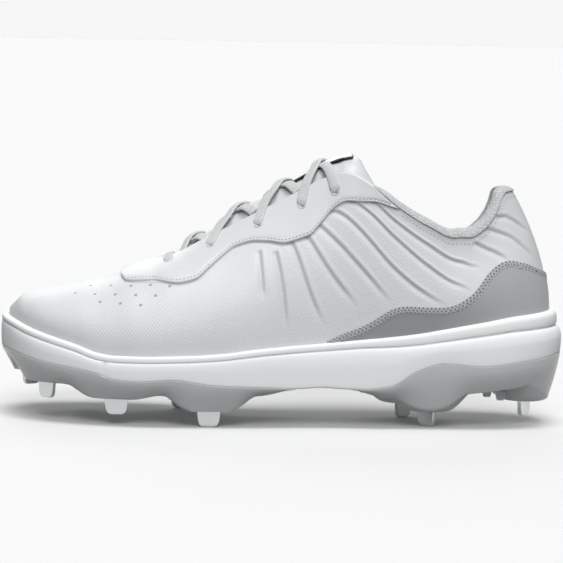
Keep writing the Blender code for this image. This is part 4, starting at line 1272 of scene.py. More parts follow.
def close_patch(name, outer, inner, ahead, finishes, uv, nodes):
    """Joins a patch's faces, folding it over the vamp's ridge where it crosses."""
    for grid in (outer, inner):
        grid[-1, ahead] = 0.5 * (grid[-1] + grid[-1, ::-1])[ahead]
    faces = slab_faces(*outer.shape[:2], kept=~(ahead[:-1] & ahead[1:]))
    points = np.concatenate([outer.reshape(-1, 3), inner.reshape(-1, 3)])
    twice = np.tile(np.asarray(uv).reshape(-1, 2), (2, 1))
    piece = add_piece(name, points, faces, finishes, uv=twice, angle=60.0)
    return dress(piece, *nodes)


def eyestay_line(count=260):
    """Columns of the eyestay, and the share of each section where its lower edge lies."""
    last = EYESTAY[-1][0]
    body = np.linspace(EYESTAY[0][0] + 0.001, last - EYESTAY_NOSE_SHARE, count)
    half = np.concatenate([body, last - EYESTAY_NOSE_SHARE * np.linspace(1, 0, 40)[1:] ** 2])
    along, side = two_sided(half, half[-2::-1])
    level = column(EYESTAY, EYESTAY_COLUMNS, "level", along)
    low = levels_to_shares(along, side, level)
    low[len(half) - 1] = 1.0
    return along, side, low


@functools.cache
def eyestay_edge():
    along, side, low = eyestay_line()
    half = len(along) // 2 + 1
    return along[:half], low[:half]


def levels_to_shares(along, side, level):
    """The shares of the sections at which they reach these levels of their own height."""
    shares = np.linspace(0, 1, 161)
    heights = upper_point(along[:, None], side[:, None], shares[None, :])[..., 2]
    wanted = heights[:, 0] + level * (heights[:, -1] - heights[:, 0])
    return np.array([np.interp(w, h, shares) for w, h in zip(wanted, heights)])


def make_eyestay():
    """The smooth facing round the throat, padded a little and rolled at its lower edge."""
    along, side, low = eyestay_line()

    def padding(from_low, _):
        groove = -0.25 * EYESTAY_THICK * hump(from_low - STITCH_INSET, 0.0006)
        return groove + 0.35 * EYESTAY_THICK * rounded(from_low, 0.006)

    ahead, top = along > THROAT_FRONT_SHARE - 1e-6, np.ones(len(along))
    outer, inner, from_low = make_patch(
        along, side, low, top, EYESTAY_THICK, EYESTAY_ROUND, ahead, 24, padding
    )
    uv = np.stack([np.broadcast_to(LAST_LENGTH * along, from_low.shape), from_low], axis=-1)
    return close_patch("eyestay_skin", outer, inner, ahead, [smooth_leather()], uv, ["eyestay"])


def softened(values, reach):
    """Values with their corners rounded by a short running average, made twice."""
    weights = np.ones(reach) / reach
    for _ in range(2):
        padded = np.pad(values, (reach // 2, reach // 2), mode="reflect", reflect_type="odd")
        values = np.convolve(padded, weights, mode="valid")
    return values


def panel_line():
    """Columns of the heel panel round the heel, and the share of each section where its top lies."""
    half = heel_stations(PANEL[-1][0], 22, 150)
    along, side = two_sided(half[::-1], half[1:])
    level = softened(column(PANEL, PANEL_COLUMNS, "level", along), 9)
    drop = PANEL_DROP * hump(along - PANEL_DROP_AT, PANEL_DROP_REACH)
    return along, side, levels_to_shares(along, side, level - drop)


def make_heel_panel():
    """The grey panel round the heel, its top edge a raised knitted strip."""
    along, side, high = panel_line()
    low = np.full(len(along), -0.4)

    def strip_rise(_, from_high):
        return 0.00025 * np.clip((STRIP_WIDTH - from_high) / 0.0006, 0, 1)

    ahead = np.zeros(len(along), bool)
    outer, inner, _ = make_patch(
        along, side, low, high, PANEL_THICK, PANEL_ROUND, ahead, 34, strip_rise
    )
    edge = outer[-1]
    run = run_of(edge)
    away = np.linalg.norm(outer[:, :, None] - edge[None, None], axis=3)
    uv = np.stack([run[away.argmin(axis=2)], away.min(axis=2)], axis=-1)
    finish = cached("heel_panel_grey", panel_finish, tuple(looks().panel))
    return close_patch("heel_panel_skin", outer, inner, ahead, [finish], uv, ["heel_panel"])


def make_collar():
    """The padded knit roll inside the collar, its lip over the upper's folded edge."""
    half = heel_stations(COLLAR_END, 30, 110)
    along, side = two_sided(half[::-1], half[1:])
    inside = -UPPER_WALL - CLEARANCE
    thick = ROLL_THICKNESS * np.interp(along, (0.0, 0.04, 0.10, 0.16), (0.45, 0.50, 0.80, 1.0))
    back = inside - thick
    drop = edge_drop(along)
    lip = np.interp(along, (0.0, 0.05, 0.12, 0.20, 0.30, COLLAR_END), (0.7, 0.9, 1.0, 0.9, 0.8, 0.0))
    lip = lip * 2.2 * ROLL_LIP
    flat = np.ones(len(along))
    knots = [
        (inside, -ROLL_DEPTH * flat),
        (inside, -0.5 * ROLL_DEPTH - 0.5 * drop),
        (inside, -drop - 0.0008),
        (inside + 0.3 * UPPER_WALL, -drop + 0.0002),
        (-0.30 * UPPER_WALL, -drop + 0.0003),
        (0.10 * UPPER_WALL, -drop + 0.0004),
        (0.42 * UPPER_WALL, -0.75 * drop + 0.0006),
        (0.50 * UPPER_WALL, -0.30 * drop + 0.15 * lip),
        (0.10 * UPPER_WALL, 0.62 * lip),
        (-0.75 * UPPER_WALL, 0.95 * lip),
        (0.5 * (inside + back), 1.0 * lip),
        (back + 0.15 * thick, 0.55 * lip),
        (back, -0.20 * ROLL_DEPTH * flat),
        (back + 0.05 * thick, -0.50 * ROLL_DEPTH * flat),
        (back + 0.45 * thick, -0.85 * ROLL_DEPTH * flat),
        (inside, -ROLL_DEPTH * flat),
    ]
    at = np.arange(len(knots), dtype=float)
    fine = np.linspace(0, len(knots) - 1, 54)[:-1]
    aways, rises = np.array([k[0] * flat for k in knots]), np.array([k[1] for k in knots])
    edge = upper_point(along, side, flat)
    below = upper_point(along, side, 0.94 * flat)
    up = unit(edge - below)
    low = inner_drop(along, side)
    loops = []
    for t in fine:
        away, rise = smooth_rows(at, aways, t), smooth_rows(at, rises, t) - low
        share = below_edge(along, side, [np.maximum(-rise, 0)])[0]
        loops.append(off_upper(along, side, share, away) + up * np.maximum(rise, 0)[:, None])
    tube = np.array(loops).swapaxes(0, 1)
    length, around = tube.shape[:2]
    points = np.concatenate([tube.reshape(-1, 3), tube[[0, -1]].mean(axis=1)])
    faces = quads(length, around, closed=True).tolist()
    hub = length * around
    for i in range(around):
        after = (i + 1) % around
        faces += [(hub, after, i), (hub + 1, hub - around + i, hub - around + after)]
    piece = add_piece("collar_roll", points, faces, [lining_knit()], angle=70.0)
    dress(piece, "collar_lining")
    return piece


def run_lengths(grid, axis):
    """Distance from the nearer border of a grid along one of its axes."""
    steps = np.linalg.norm(np.diff(grid, axis=axis), axis=2)
    runs = np.cumsum(steps, axis=axis)
    pad = [(0, 0), (0, 0)]
    pad[axis] = (1, 0)
    runs = np.pad(runs, pad)
    whole = np.take(runs, [-1], axis=axis)
    return np.minimum(runs, whole - runs)


def pillow(name, grid, wall, reach, finishes, nodes, part, lift=None):
    """A closed pad between a grid of points and a wall below it, round on all four edges. part picks
    the finish of each face on top, and the last finish takes the rest."""
    normal = row_normals(grid)
    near = np.minimum(run_lengths(grid, 0), run_lengths(grid, 1))
    shape = rounded(near, reach)[..., None]
    middle = grid - normal * 0.5 * wall
    raised = 0.0 if lift is None else lift[..., None]
    top = middle + normal * (0.5 * wall * shape + raised)
    bottom = middle - normal * 0.5 * wall * shape
    faces = slab_faces(*grid.shape[:2])
    slots = np.concatenate([part, np.full(len(faces) - len(part), len(finishes) - 1)])
    points = np.concatenate([top.reshape(-1, 3), bottom.reshape(-1, 3)])
    return dress(add_piece(name, points, faces, finishes, slots, angle=60.0), *nodes)


@functools.cache
def tongue_grid():
    """The tongue's rows, its free end cut square to the instep and a little short."""
    grid = tongue_rows(-UPPER_WALL - TONGUE_GAP, 16, 8)
    middle = grid.shape[1] // 2
    slope = unit(grid[-1, middle] - grid[-2, middle])
    for number, share in enumerate((0.35, 0.75, 1.0)):
        row = grid[number - 3]
        low = row[middle, 2] - row[:, 2]
        row[:, 0] -= TONGUE_LEAN * share * low
        row -= slope * TONGUE_TRIM * share
    return grid


def make_tongue():
    """The padded tongue, soft folds under the lace and a rounded free end."""
    grid = tongue_grid()
    rows, columns = grid.shape[:2]
    down = np.linspace(0, 1, rows)[:, None]
    across = np.linspace(-1, 1, columns)[None, :]
    lift = TONGUE_WAVE * np.cos(across * 5.0) * np.sin(down * math.pi) ** 0.5
    for station in EYELETS:
        at = 1 - (station - TONGUE[0][0]) / (TONGUE[-1][0] - TONGUE[0][0])
        lift = lift - TONGUE_DENT * hump(down - at * (rows - 4) / (rows - 1), 0.022) * hump(across, 0.8)
    finishes, part = [smooth_leather(), lining_knit()], np.zeros((rows - 1) * (columns - 1), int)
    piece = pillow("tongue_pad", grid, TONGUE_WALL, TONGUE_ROUND, finishes, ["tongue"], part, lift)
    return piece


def bordered(low, high, count, border):
    """Even shares with a few close ones inside a border at each end."""
    ends = np.linspace(0, border, 4)
    middle = np.linspace(low + border, high - border, count)
    return np.concatenate([low + ends[:-1], middle, high - ends[-2::-1]])


def at_index(values, index):
    """Values read at places between their rows."""
    low = np.clip(index.astype(int), 0, len(values) - 2)
    part = (index - low).reshape(-1, *[1] * (np.ndim(values) - 1))
    return values[low] * (1 - part) + values[low + 1] * part


def resampled(grid, rows, columns, low, high, reach, border):
    """A finer grid from part of a grid, between two shares of its length and of its width."""
    middle = grid.shape[1] // 2
    length = np.linalg.norm(np.diff(grid[:, middle], axis=0), axis=1).sum()
    width = np.linalg.norm(np.diff(grid[-6], axis=0), axis=1).sum()
    down = bordered(low, high, rows, border / length) * (len(grid) - 1)
    across = bordered(0.5 - 0.5 * reach, 0.5 + 0.5 * reach, columns, border / width) * (grid.shape[1] - 1)
    return at_index(at_index(grid, down).swapaxes(0, 1), across).swapaxes(0, 1)


def make_badge():
    """The bare patch at the tongue's top, with a thin black border."""
    patch = resampled(tongue_grid(), 80, 60, *BADGE_SPAN, BADGE_REACH, BADGE_BORDER)
    patch = patch + row_normals(patch) * (BADGE_LIFT + OVERLAY_WALL)
    edge = np.minimum(run_lengths(patch, 0), run_lengths(patch, 1))
    inside = 0.25 * (edge[:-1, :-1] + edge[1:, 1:] + edge[:-1, 1:] + edge[1:, :-1])
    part = (inside.ravel() < BADGE_BORDER).astype(int)
    black = cached("badge_black", plain_finish, tuple(looks().black), 0.5)
    finishes = [smooth_leather(), black]
    return pillow("badge_patch", patch, OVERLAY_WALL, BADGE_ROUND, finishes, ["tongue_badge"], part)


def throat_sheet():
    """A grid of points over the throat, station by station from the inner to the outer eyelets."""
    stations = np.linspace(EYELETS[-1] - SHEET_MARGIN, EYELETS[0] + SHEET_MARGIN, 44)
    sheet = np.array([throat_row(along) for along in stations])
    ahead, across = np.gradient(sheet, axis=0), np.gradient(sheet, axis=1)
    normal = unit(np.cross(ahead, across))
    return stations, sheet, normal * np.sign(normal[..., 2:])


def over_sheet(throat, along, place, lift):
    """Points over the throat at stations and places across it, and their upward facing."""
    stations, sheet, normal = throat
    row = np.interp(along, stations, np.arange(len(stations)))
    col = np.clip(place, 0, 1) * (sheet.shape[1] - 1)
    i, j = np.minimum(row.astype(int), len(sheet) - 2), np.minimum(col.astype(int), sheet.shape[1] - 2)
    u, v = (row - i)[:, None], (col - j)[:, None]

    def at(grid):
        near = grid[i, j] * (1 - v) + grid[i, j + 1] * v
        return near * (1 - u) + (grid[i + 1, j] * (1 - v) + grid[i + 1, j + 1] * v) * u

    return at(sheet) + at(normal) * lift[:, None], at(normal)


def lace_run(throat, start, end, flip, start_over, end_over, bump):
    """The path and facing of one run of the lace, across the throat from one eyelet to another."""
    near = 0.0 if start_over else LACE_HIDDEN
    far = 1.0 if end_over else 1 - LACE_HIDDEN
    share = np.linspace(near, far, 34)
    lift = bump * hump(share - 0.5, 0.13) - LACE_PRESS
    for over, away in ((start_over, share - near), (end_over, far - share)):
        lift = lift - (0.0 if over else LACE_TUCK * hump(away, 0.10))
    place = 1 - share if flip else share
    path, facing = over_sheet(throat, start + (end - start) * share, place, lift)
    for over in (start_over, end_over):
        path, facing = path[::-1], facing[::-1]
        if over:
            way = unit(path[-1] - path[-3])
            dive = [path[-1] + way * LACE_DIVE * on - facing[-1] * LACE_DIVE * down for on, down in DIVE]
            path, facing = np.vstack([path, dive]), np.vstack([facing, [facing[-1]] * len(DIVE)])
    return path, facing


def lace_band(path, facing, start_over, end_over):
    """A flat, full band along a path, gathered where it goes into an eyelet."""
    steps = run_of(path)
    count = max(int(steps[-1] / LACE_STEP), 24)
    at = np.linspace(0, steps[-1], count)
    line = np.column_stack([smooth(steps, path[:, i], at) for i in range(3)])
    up = np.column_stack([np.interp(at, steps, facing[:, i]) for i in range(3)])
    tangent = unit(np.gradient(line, axis=0))
    wide = np.cross(up, tangent)
    size = np.linalg.norm(wide, axis=1, keepdims=True)
    weak = size[:, 0] < 0.35
    wide = wide / np.maximum(size, 1e-9)
    if weak.any():
        good = np.flatnonzero(~weak)
        for i in np.flatnonzero(weak):
            wide[i] = wide[good[np.argmin(abs(good - i))]]
    thick = unit(np.cross(tangent, wide))
    gather = np.ones(count)
    for over, away in ((start_over, at), (end_over, at[-1] - at)):
        if over:
            gather *= 1 - LACE_GATHER + LACE_GATHER * np.clip(away / LACE_GATHER_LENGTH, 0, 1)
    turns = np.linspace(0, 2 * math.pi, 22, endpoint=False)
    flat = np.sign(np.cos(turns)) * np.abs(np.cos(turns)) ** 0.8
    high = np.sign(np.sin(turns)) * np.abs(np.sin(turns)) ** 0.7
    half_width = 0.5 * sizes().lace_width * gather
    half_height = 0.5 * sizes().lace_thickness * (1.6 - 0.6 * gather)
    rings = line[:, None] + wide[:, None] * half_width[:, None, None] * flat[None, :, None]
    rings = rings + thick[:, None] * half_height[:, None, None] * high[None, :, None]
    across, run = np.broadcast_arrays(0.5 + 0.5 * flat, at[:, None])
    return rings, np.stack([across, run], axis=-1)


def make_lace():
    """The flat lace: a bar at the front, then crossings that dive into the top eyelets."""
    over = sizes().lace_thickness
    runs = [(EYELETS[0], EYELETS[0], False, True, True, 0.0)]
    for number, (low, high) in enumerate(zip(EYELETS, EYELETS[1:])):
        for flip in (False, True):
            last = number == len(EYELETS) - 2
            runs.append((low, high, flip, number > 0, last, over if flip else -0.2 * over))
    points, faces, uvs = [], [], []
    first = 0
    throat = throat_sheet()
    for start, end, flip, start_over, end_over, bump in runs:
        path, facing = lace_run(throat, start, end, flip, start_over, end_over, bump)
        rings, uv = lace_band(path, facing, start_over, end_over)
        rows, columns = rings.shape[:2]
        points.append(rings.reshape(-1, 3))
        uvs.append(uv.reshape(-1, 2))
        last = first + (rows - 1) * columns
        faces += quads(rows, columns, first, closed=True).tolist()
        faces += [range(first, first + columns)[::-1], range(last, last + columns)]
        first = last + columns
    finish = cached("lace_white", lace_finish, tuple(looks().lace))
    points, uvs = np.concatenate(points), np.concatenate(uvs)
    return dress(add_piece("lace_band", points, faces, [finish], uv=uvs, angle=70.0), "lace")


def stack_piece(name, rings, finishes, nodes, marks=None):
    """A closed solid through a stack of loops, with flat ladders over the first and the last."""
    rings = np.array(rings)
    rows, width = rings.shape[:2]
    half = width // 2 + 1
    faces = quads(rows, width, closed=True).tolist()
    for first, back in ((0, False), ((rows - 1) * width, True)):
        rungs = [(first + i, first + (width - i) % width) for i in range(half)]
        for (a, b), (c, d) in zip(rungs, rungs[1:]):
            face = tuple(dict.fromkeys((a, c, d, b)))
            faces.append(face[::-1] if back else face)
    piece = add_piece(name, rings.reshape(-1, 3), faces, finishes, marks=marks, angle=60.0)
    return dress(piece, *nodes)


def sole_loop():
    """Stations of the sole's fine loop, with the plates' ends among them."""
    half = along_of(np.linspace(0, math.pi, 230))
    half = np.unique(np.concatenate([half, [end for _, end, _ in PLATES]]))
    keep = np.concatenate([[True], np.diff(half) > 2e-4])
    keep[-1] = True
    return half[keep]


def make_insole():
    along, side = loop(sole_loop())
    inset = -UPPER_WALL - 2 * CLEARANCE
    bed = bed_height(along) + 2 * CLEARANCE
    edge = 0.35 * INSOLE_THICKNESS
    cup = 0.0016 * np.clip((0.35 - along) / 0.3, 0, 1)
    rings = [
        ring(along, side, inset - 8 * edge, bed + INSOLE_THICKNESS - edge - cup),
        ring(along, side, inset - 3 * edge, bed + INSOLE_THICKNESS - 0.6 * edge),
        ring(along, side, inset - edge, bed + INSOLE_THICKNESS),
        ring(along, side, inset - 0.3 * edge, bed + INSOLE_THICKNESS - 0.2 * edge),
        ring(along, side, inset, bed + INSOLE_THICKNESS - edge),
        ring(along, side, inset, bed + 0.4 * edge),
        ring(along, side, inset - 0.4 * edge, bed),
    ]
    light = toned(tuple(looks().lining), 0.95)
    finish = cached("insole_knit", knit_finish, light, toned(light, 0.75), 0.0014)
    return stack_piece("insole_sock", rings, [finish], ["insole"])


def make_midsole():
    """The foam cup: a rim band with a soft top edge, a crease under it, a belly, and a line round the
    toe."""
    along, side = loop(sole_loop())
    rim, line, under = sole_height("rim", along), side_line(along), under_height(along)
    band, lip, bulge = (sole_depth(name, along) for name in ("band", "lip", "bulge"))
    cover = plate_cover(along) * (PLATE_WALL + CLEARANCE) + CLEARANCE
    crease = rim - band
    belly = crease - 0.45 * (crease - line)
    dent = 0.20 * CUP_DEPTH * np.clip((bulge - 0.9 * CUP_DEPTH) / (0.6 * CUP_DEPTH) + 0.4, 0.25, 1)
    corner = corner_out(along)
    knots = [
        (np.full(len(along), 0.5 * CLEARANCE), bed_height(along)),
        (np.full(len(along), 0.5 * CLEARANCE), rim - 0.30 * CUP_DEPTH),
        (0.06 * lip, rim - 0.06 * CUP_DEPTH),
        (0.30 * lip, rim + 0.02 * CUP_DEPTH),
        (0.72 * lip, rim - 0.10 * band),
        (0.94 * lip, rim - 0.30 * band),
        (1.00 * lip, rim - 0.62 * band),
        (0.97 * lip, rim - 0.86 * band),
        (0.76 * lip + 0.1 * bulge - dent, crease),
        (0.60 * lip + 0.32 * bulge, crease - 0.12 * (crease - belly)),
        (0.25 * lip + 0.74 * bulge, crease - 0.45 * (crease - belly)),
        (bulge, belly),
        (0.985 * bulge, 0.5 * (belly + line)),
        (0.94 * bulge, line + 0.0006),
        (0.94 * bulge - 0.0005, line),
        (0.94 * bulge - cover, line - 0.2 * CLEARANCE),
        (0.5 * (0.94 * bulge + corner) - cover, 0.5 * (line + under) + 0.5 * cover),
        (corner - cover, under + cover),
        (corner - cover - 0.004, under + cover),
    ]
    outs, heights = (np.array(values) for values in zip(*knots))
    at = np.arange(len(knots), dtype=float)
    fine = np.concatenate([np.linspace(0, 13, 66), np.linspace(13, len(knots) - 1, 12)[1:]])
    rings, groove = [], []
    wrap = hump((along - WRAP_AT) - 0.006 * np.sin(along * 60.0), WRAP_WIDTH)
    for t in fine:
        seam = wrap * (9.0 < t < 13.5)
        out = smooth_rows(at, outs, t) - WRAP_DEPTH * seam
        rings.append(ring(along, side, out, smooth_rows(at, heights, t)))
        # The groove mark paints shade into the crease under the rim's band and into the line round the toe.
        groove.append(0.7 * seam + 0.45 * hump(t - 8.0, 0.35))
    marks = {"groove": np.clip(np.array(groove), 0, 1)}
    finish = cached("midsole_foam", foam_finish, tuple(looks().foam))
    return stack_piece("midsole_cup", rings, [finish], ["midsole"], marks=marks)


def smooth_rows(at, rows, t):
    """The smooth curve through whole rows of values, at one place."""
    rises = np.diff(rows, axis=0)
    before, after = rises[:-1], rises[1:]
    same = before * after > 0
    inner = np.where(same, 2 * before * after / np.where(same, before + after, 1), 0)
    slopes = np.concatenate([rises[:1], inner, rises[-1:]])
    i = int(min(max(t, 0), len(at) - 1.0001))
    u = t - i
    ease = eased_share(u)
    lead, trail = u * (1 - u) ** 2, -u * u * (1 - u)
    return rows[i] * (1 - ease) + rows[i + 1] * ease + lead * slopes[i] + trail * slopes[i + 1]


def make_plates():
    """The moulded plates: a side that wraps up over the foam, and a boss for each stud."""
    finish = cached("plate_grey", plate_finish, tuple(looks().plate))
    for name, end, tip in PLATES:
        along = sole_loop()
        along = along[along >= end] if tip else along[along <= end][::-1]
        sections = []
        for inner in (False, True):
            cover = plate_cover(along) * PLATE_WALL if inner else np.zeros(len(along))
            line, under = side_line(along) - 1.2 * CLEARANCE, under_height(along)
            flanks = []
            for side in (np.ones(len(along)), -np.ones(len(along))):
                bulge, corner = 0.94 * sole_depth("bulge", along), corner_out(along)
                rows = []
                for t in np.linspace(0, 1, 16):
                    out = bulge + (corner - bulge) * t**1.25 + PLATE_SWELL * math.sin(math.pi * t)
                    level = line + (under - line) * t**0.92
                    rows.append(ring(along, side, out - cover, level + cover * t))
                if not inner:
                    rows[0] = ring(along, side, bulge - 0.0008, line + 0.0006)
                    rows[1] = ring(along, side, bulge + 0.0001, line + 0.0002)
                flanks.append(rows)
            outer_row, inner_row = flanks[0][-1], flanks[1][-1]
            floor = []
            for share in np.linspace(0, 1, 66)[1:-1]:
                row = outer_row + (inner_row - outer_row) * share
                if not inner:
                    base = row[:, 2] + FLOOR_SWELL * math.sin(math.pi * share)
                    row[:, 2] = fine_underside(row[:, 0], row[:, 1], base)
                floor.append(row)
            if not inner:
                for rows in flanks:
                    drop = rows[-1][:, 2] - fine_underside(*rows[-1].T)
                    for t, row in zip(np.linspace(0, 1, len(rows)), rows):
                        row[:, 2] -= drop * t**1.7
            sections.append(np.array(flanks[0] + floor + flanks[1][::-1]))
        faces = slab_faces(*sections[0].shape[:2], far_side=False)
        points = np.concatenate([section.reshape(-1, 3) for section in sections])
        dress(add_piece(name + "_shell", points, faces, [finish]), name)


def fine_underside(x, y, base):
    """The plates' underside with each boss drawn down to its stud, hollow-sided like the real one."""
    height = base
    for row in STUDS:
        stud_x, stud_y, _, turn = stud_place(row)
        run = (x - stud_x) * math.cos(turn) + (y - stud_y) * math.sin(turn)
        across = -(x - stud_x) * math.sin(turn) + (y - stud_y) * math.cos(turn)
        near = np.hypot(run, across * 1.06) / BOSS_RADIUS
        flank = np.clip((1.95 - near) / 1.12, 0, 1)
        flank = flank**1.6 * (2.6 - 1.6 * flank)
        height = np.minimum(height, base + (seat_height(row) - base) * np.clip(flank, 0, 1))
    return height


def make_studs():
    """Stamped steel blades with softened edges and a slight hollow, each over its own solid."""
    finish = cached("stud_steel", steel_finish, tuple(looks().steel))
    for row in STUDS:
        name = row[0]
        x, y, tip, turn = stud_place(row)
        top = seat_height(row) + BLADE_ROOT
        half_top, half_tip = 0.5 * STUD_WIDTH, 0.5 * STUD_TIP_WIDTH
        cut = 0.30 * STUD_TIP_WIDTH
        runs, levels = np.linspace(-1, 1, 17), np.linspace(0, 1, 7)
        front, back = [], []
        for share in runs:
            for level in levels:
                corner = max(abs(share) - 0.5, 0) / 0.5
                low = tip + cut * (1 - math.sqrt(max(0.0, 1 - corner**2)))
                z = low + (top - low) * level
                width = half_tip + (half_top - half_tip) * (z - tip) / (top - tip)
                run = width * share
                hollow = BLADE_FOLD * share * share
                for side, store in ((-1, back), (1, front)):
                    away = side * 0.5 * BLADE_THICKNESS + hollow - 0.4 * BLADE_FOLD
                    store.append((
                        x + run * math.cos(turn) - away * math.sin(turn),
                        y + run * math.sin(turn) + away * math.cos(turn),
                        z,
                    ))
        faces = slab_faces(len(runs), len(levels))
        piece = add_piece(name + "_blade", np.array(front + back), faces, [finish], angle=40.0)
        bevel = piece.modifiers.new("softened", "BEVEL")
        bevel.width = BLADE_BEVEL
        bevel.segments = 2
        bevel.limit_method = "ANGLE"
        dress(piece, name)


def make_lugs():
    """The plates' own finish on the small lugs of the frame."""
    finish = cached("plate_grey", plate_finish, tuple(looks().plate))
    for name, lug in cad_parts.items():
        if name.startswith("lug_"):
            for slot in lug.material_slots:
                slot.material = finish


def spread_tree():
    """A node tree that sets a small shape on each point of a mesh, turned to the point's own facing
    and way, and leaves one plain mesh with its finish."""
    found = bpy.data.node_groups.get("set_on_points")
    if found:
        return found
    tree = bpy.data.node_groups.new("set_on_points", "GeometryNodeTree")
    for name, kind in SPREAD_INPUTS:
        tree.interface.new_socket(name, in_out="INPUT", socket_type="NodeSocket" + kind)
    tree.interface.new_socket("Mesh", in_out="OUTPUT", socket_type="NodeSocketGeometry")
    given = tree.nodes.new("NodeGroupInput").outputs

    def node(kind, inputs, output=0, **settings):
        return add_node(tree, kind, settings, inputs).outputs[output]

    lowest = node("ShaderNodeMath", {0: 1.0, 1: given["Vary"]}, operation="SUBTRACT")
    highest = node("ShaderNodeMath", {0: 1.0, 1: given["Vary"]}, operation="ADD")
    vary = node("FunctionNodeRandomValue", {2: lowest, 3: highest, "Seed": given["Seed"]}, 1)
    scale = node("ShaderNodeMath", {0: given["Size"], 1: vary}, operation="MULTIPLY")
    marks = [
        node("GeometryNodeInputNamedAttribute", {"Name": name}, "Attribute", data_type="FLOAT_VECTOR")
        for name in ("facing", "way")
    ]
    align = "FunctionNodeAlignRotationToVector"
    turn = node(align, {"Vector": marks[0]}, axis="Z")
    turn = node(align, {"Rotation": turn, "Vector": marks[1]}, axis="X", pivot_axis="Z")
    shape = node("GeometryNodeObjectInfo", {"Object": given["Shape"]}, "Geometry")
    inputs = {"Points": given["Points"], "Instance": shape, "Rotation": turn, "Scale": scale}
    mesh = node("GeometryNodeInstanceOnPoints", inputs)
    mesh = node("GeometryNodeRealizeInstances", {"Geometry": mesh})
    mesh = node("GeometryNodeSetMaterial", {"Geometry": mesh, "Material": given["Finish"]})
    add_node(tree, "NodeGroupOutput", None, {"Mesh": mesh})
    return tree


def spread(name, points, facings, ways, shape, size, vary, seed, finish, slot):
    """One plain mesh of a small shape set on many points."""
    carrier_mesh = bpy.data.meshes.new(name + "_points")
    carrier_mesh.from_pydata((np.asarray(points) + PLACE).tolist(), [], [])
    for mark, values in (("facing", facings), ("way", ways)):
        layer = carrier_mesh.attributes.new(mark, "FLOAT_VECTOR", "POINT")
        layer.data.foreach_set("vector", np.asarray(values, np.float32).ravel())
    carrier = placed(name + "_points", carrier_mesh)
    tree = spread_tree()
    modifier = carrier.modifiers.new("set", "NODES")
    modifier.node_group = tree
    keys = {item.name: item.identifier for item in tree.interface.items_tree if item.in_out == "INPUT"}
    for key, value in (("Shape", shape), ("Size", size), ("Vary", vary), ("Seed", seed), ("Finish", finish)):
        modifier[keys[key]] = value
    bpy.context.view_layer.update()
    graph = bpy.context.evaluated_depsgraph_get()
    mesh = bpy.data.meshes.new_from_object(carrier.evaluated_get(graph))
    mesh.name = name
    mesh.shade_smooth()
    made = placed(name, mesh)
    bpy.data.objects.remove(carrier)
    bpy.data.objects.remove(shape)
    return detail(made, slot)


def small_shape(name, rings, sides=10, flat=1.0):
    """A small turned shape round Z from (radius, height) pairs, closed at both ends. flat squeezes
    it along Y."""
    turns = np.linspace(0, 2 * math.pi, sides, endpoint=False)
    points = [(radius * math.cos(t), flat * radius * math.sin(t), height)
              for radius, height in rings for t in turns]
    faces = quads(len(rings), sides, closed=True).tolist()
    faces += [range(sides)[::-1], range(len(points) - sides, len(points))]
    mesh = bpy.data.meshes.new(name)
    mesh.from_pydata(points, [], faces)
    shape = bmesh.new()
    shape.from_mesh(mesh)
    bmesh.ops.recalc_face_normals(shape, faces=shape.faces)
    shape.to_mesh(mesh)
    shape.free()
    return placed(name, mesh)


def on_upper(along, side, share, away):
    """Points over the upper's face, their facings and the direction towards the toe."""
    given = np.broadcast_arrays(along, side, share)
    along, side, share = (np.atleast_1d(np.asarray(value, float)) for value in given)
    points = off_upper(along, side, share, away)
    facing = upper_normal(along, side, share)
    step = off_upper(np.clip(along + 0.002, 0, 1), side, share, away) - points
    return points, facing, step / np.maximum(np.linalg.norm(step, axis=1, keepdims=True), 1e-9)


def settled(piece_name, points, facing, away):
    """Points and facings moved onto the faces of a finished piece."""
    mesh = bpy.data.objects[piece_name].data
    tree = BVHTree.FromPolygons([v.co for v in mesh.vertices], [tuple(p.vertices) for p in mesh.polygons])
    for number, point in enumerate(points):
        place, normal, _, _ = tree.find_nearest(Vector(point + PLACE))
        if normal.dot(Vector(facing[number])) > 0.5:
            points[number] = np.array(place + normal * away) - PLACE
            facing[number] = normal
    return points, facing


def even_run(points, pitch):
    """Places along a line at an even pitch, as indexes between its points."""
    steps = run_of(points)
    count = int(steps[-1] / pitch)
    return np.interp(np.linspace(0, steps[-1], count), steps, np.arange(len(points)))


def make_vents():
    """Punched holes of the vamp, on both sides."""
    table = np.array(VENTS)
    along = np.concatenate([table[:, 0], table[:, 0]])
    share = np.concatenate([table[:, 1], table[:, 1]])
    side = np.concatenate([np.ones(len(table)), -np.ones(len(table))])
    points, facing, way = on_upper(along, side, share, 0.0002)
    points, facing = settled("upper_skin", points, facing, 0.00002)
    dark = cached("vent_shadow", plain_finish, toned(tuple(looks().panel), 1.1), 0.9)
    disc = small_shape("vent", ((0.95, -0.25), (1.0, 0.02), (0.75, 0.08), (0.3, 0.05)), 12)
    return spread("vents", points, facing, way, disc, sizes().vent_radius, 0.06, 3, dark, "upper_leather")


def stitch_row(along, side, share, name, skin, slot, away, pitch, size, seed, finish):
    """A row of short stitches along a line over the upper."""
    line = off_upper(along, side, share, away)
    index = even_run(line, pitch)
    points = at_index(line, index)
    facing = at_index(upper_normal(along, side, share), index)
    points, facing = settled(skin, points, facing, 0.00006)
    way = unit(np.gradient(points, axis=0))
    rings = ((0.2, -0.25), (0.75, -0.1), (1.0, 0.1), (0.85, 0.3), (0.35, 0.42))
    shape = small_shape("stitch", rings, 10, 0.42)
    return spread(name, points, facing, way, shape, size, 0.08, seed, finish, slot)


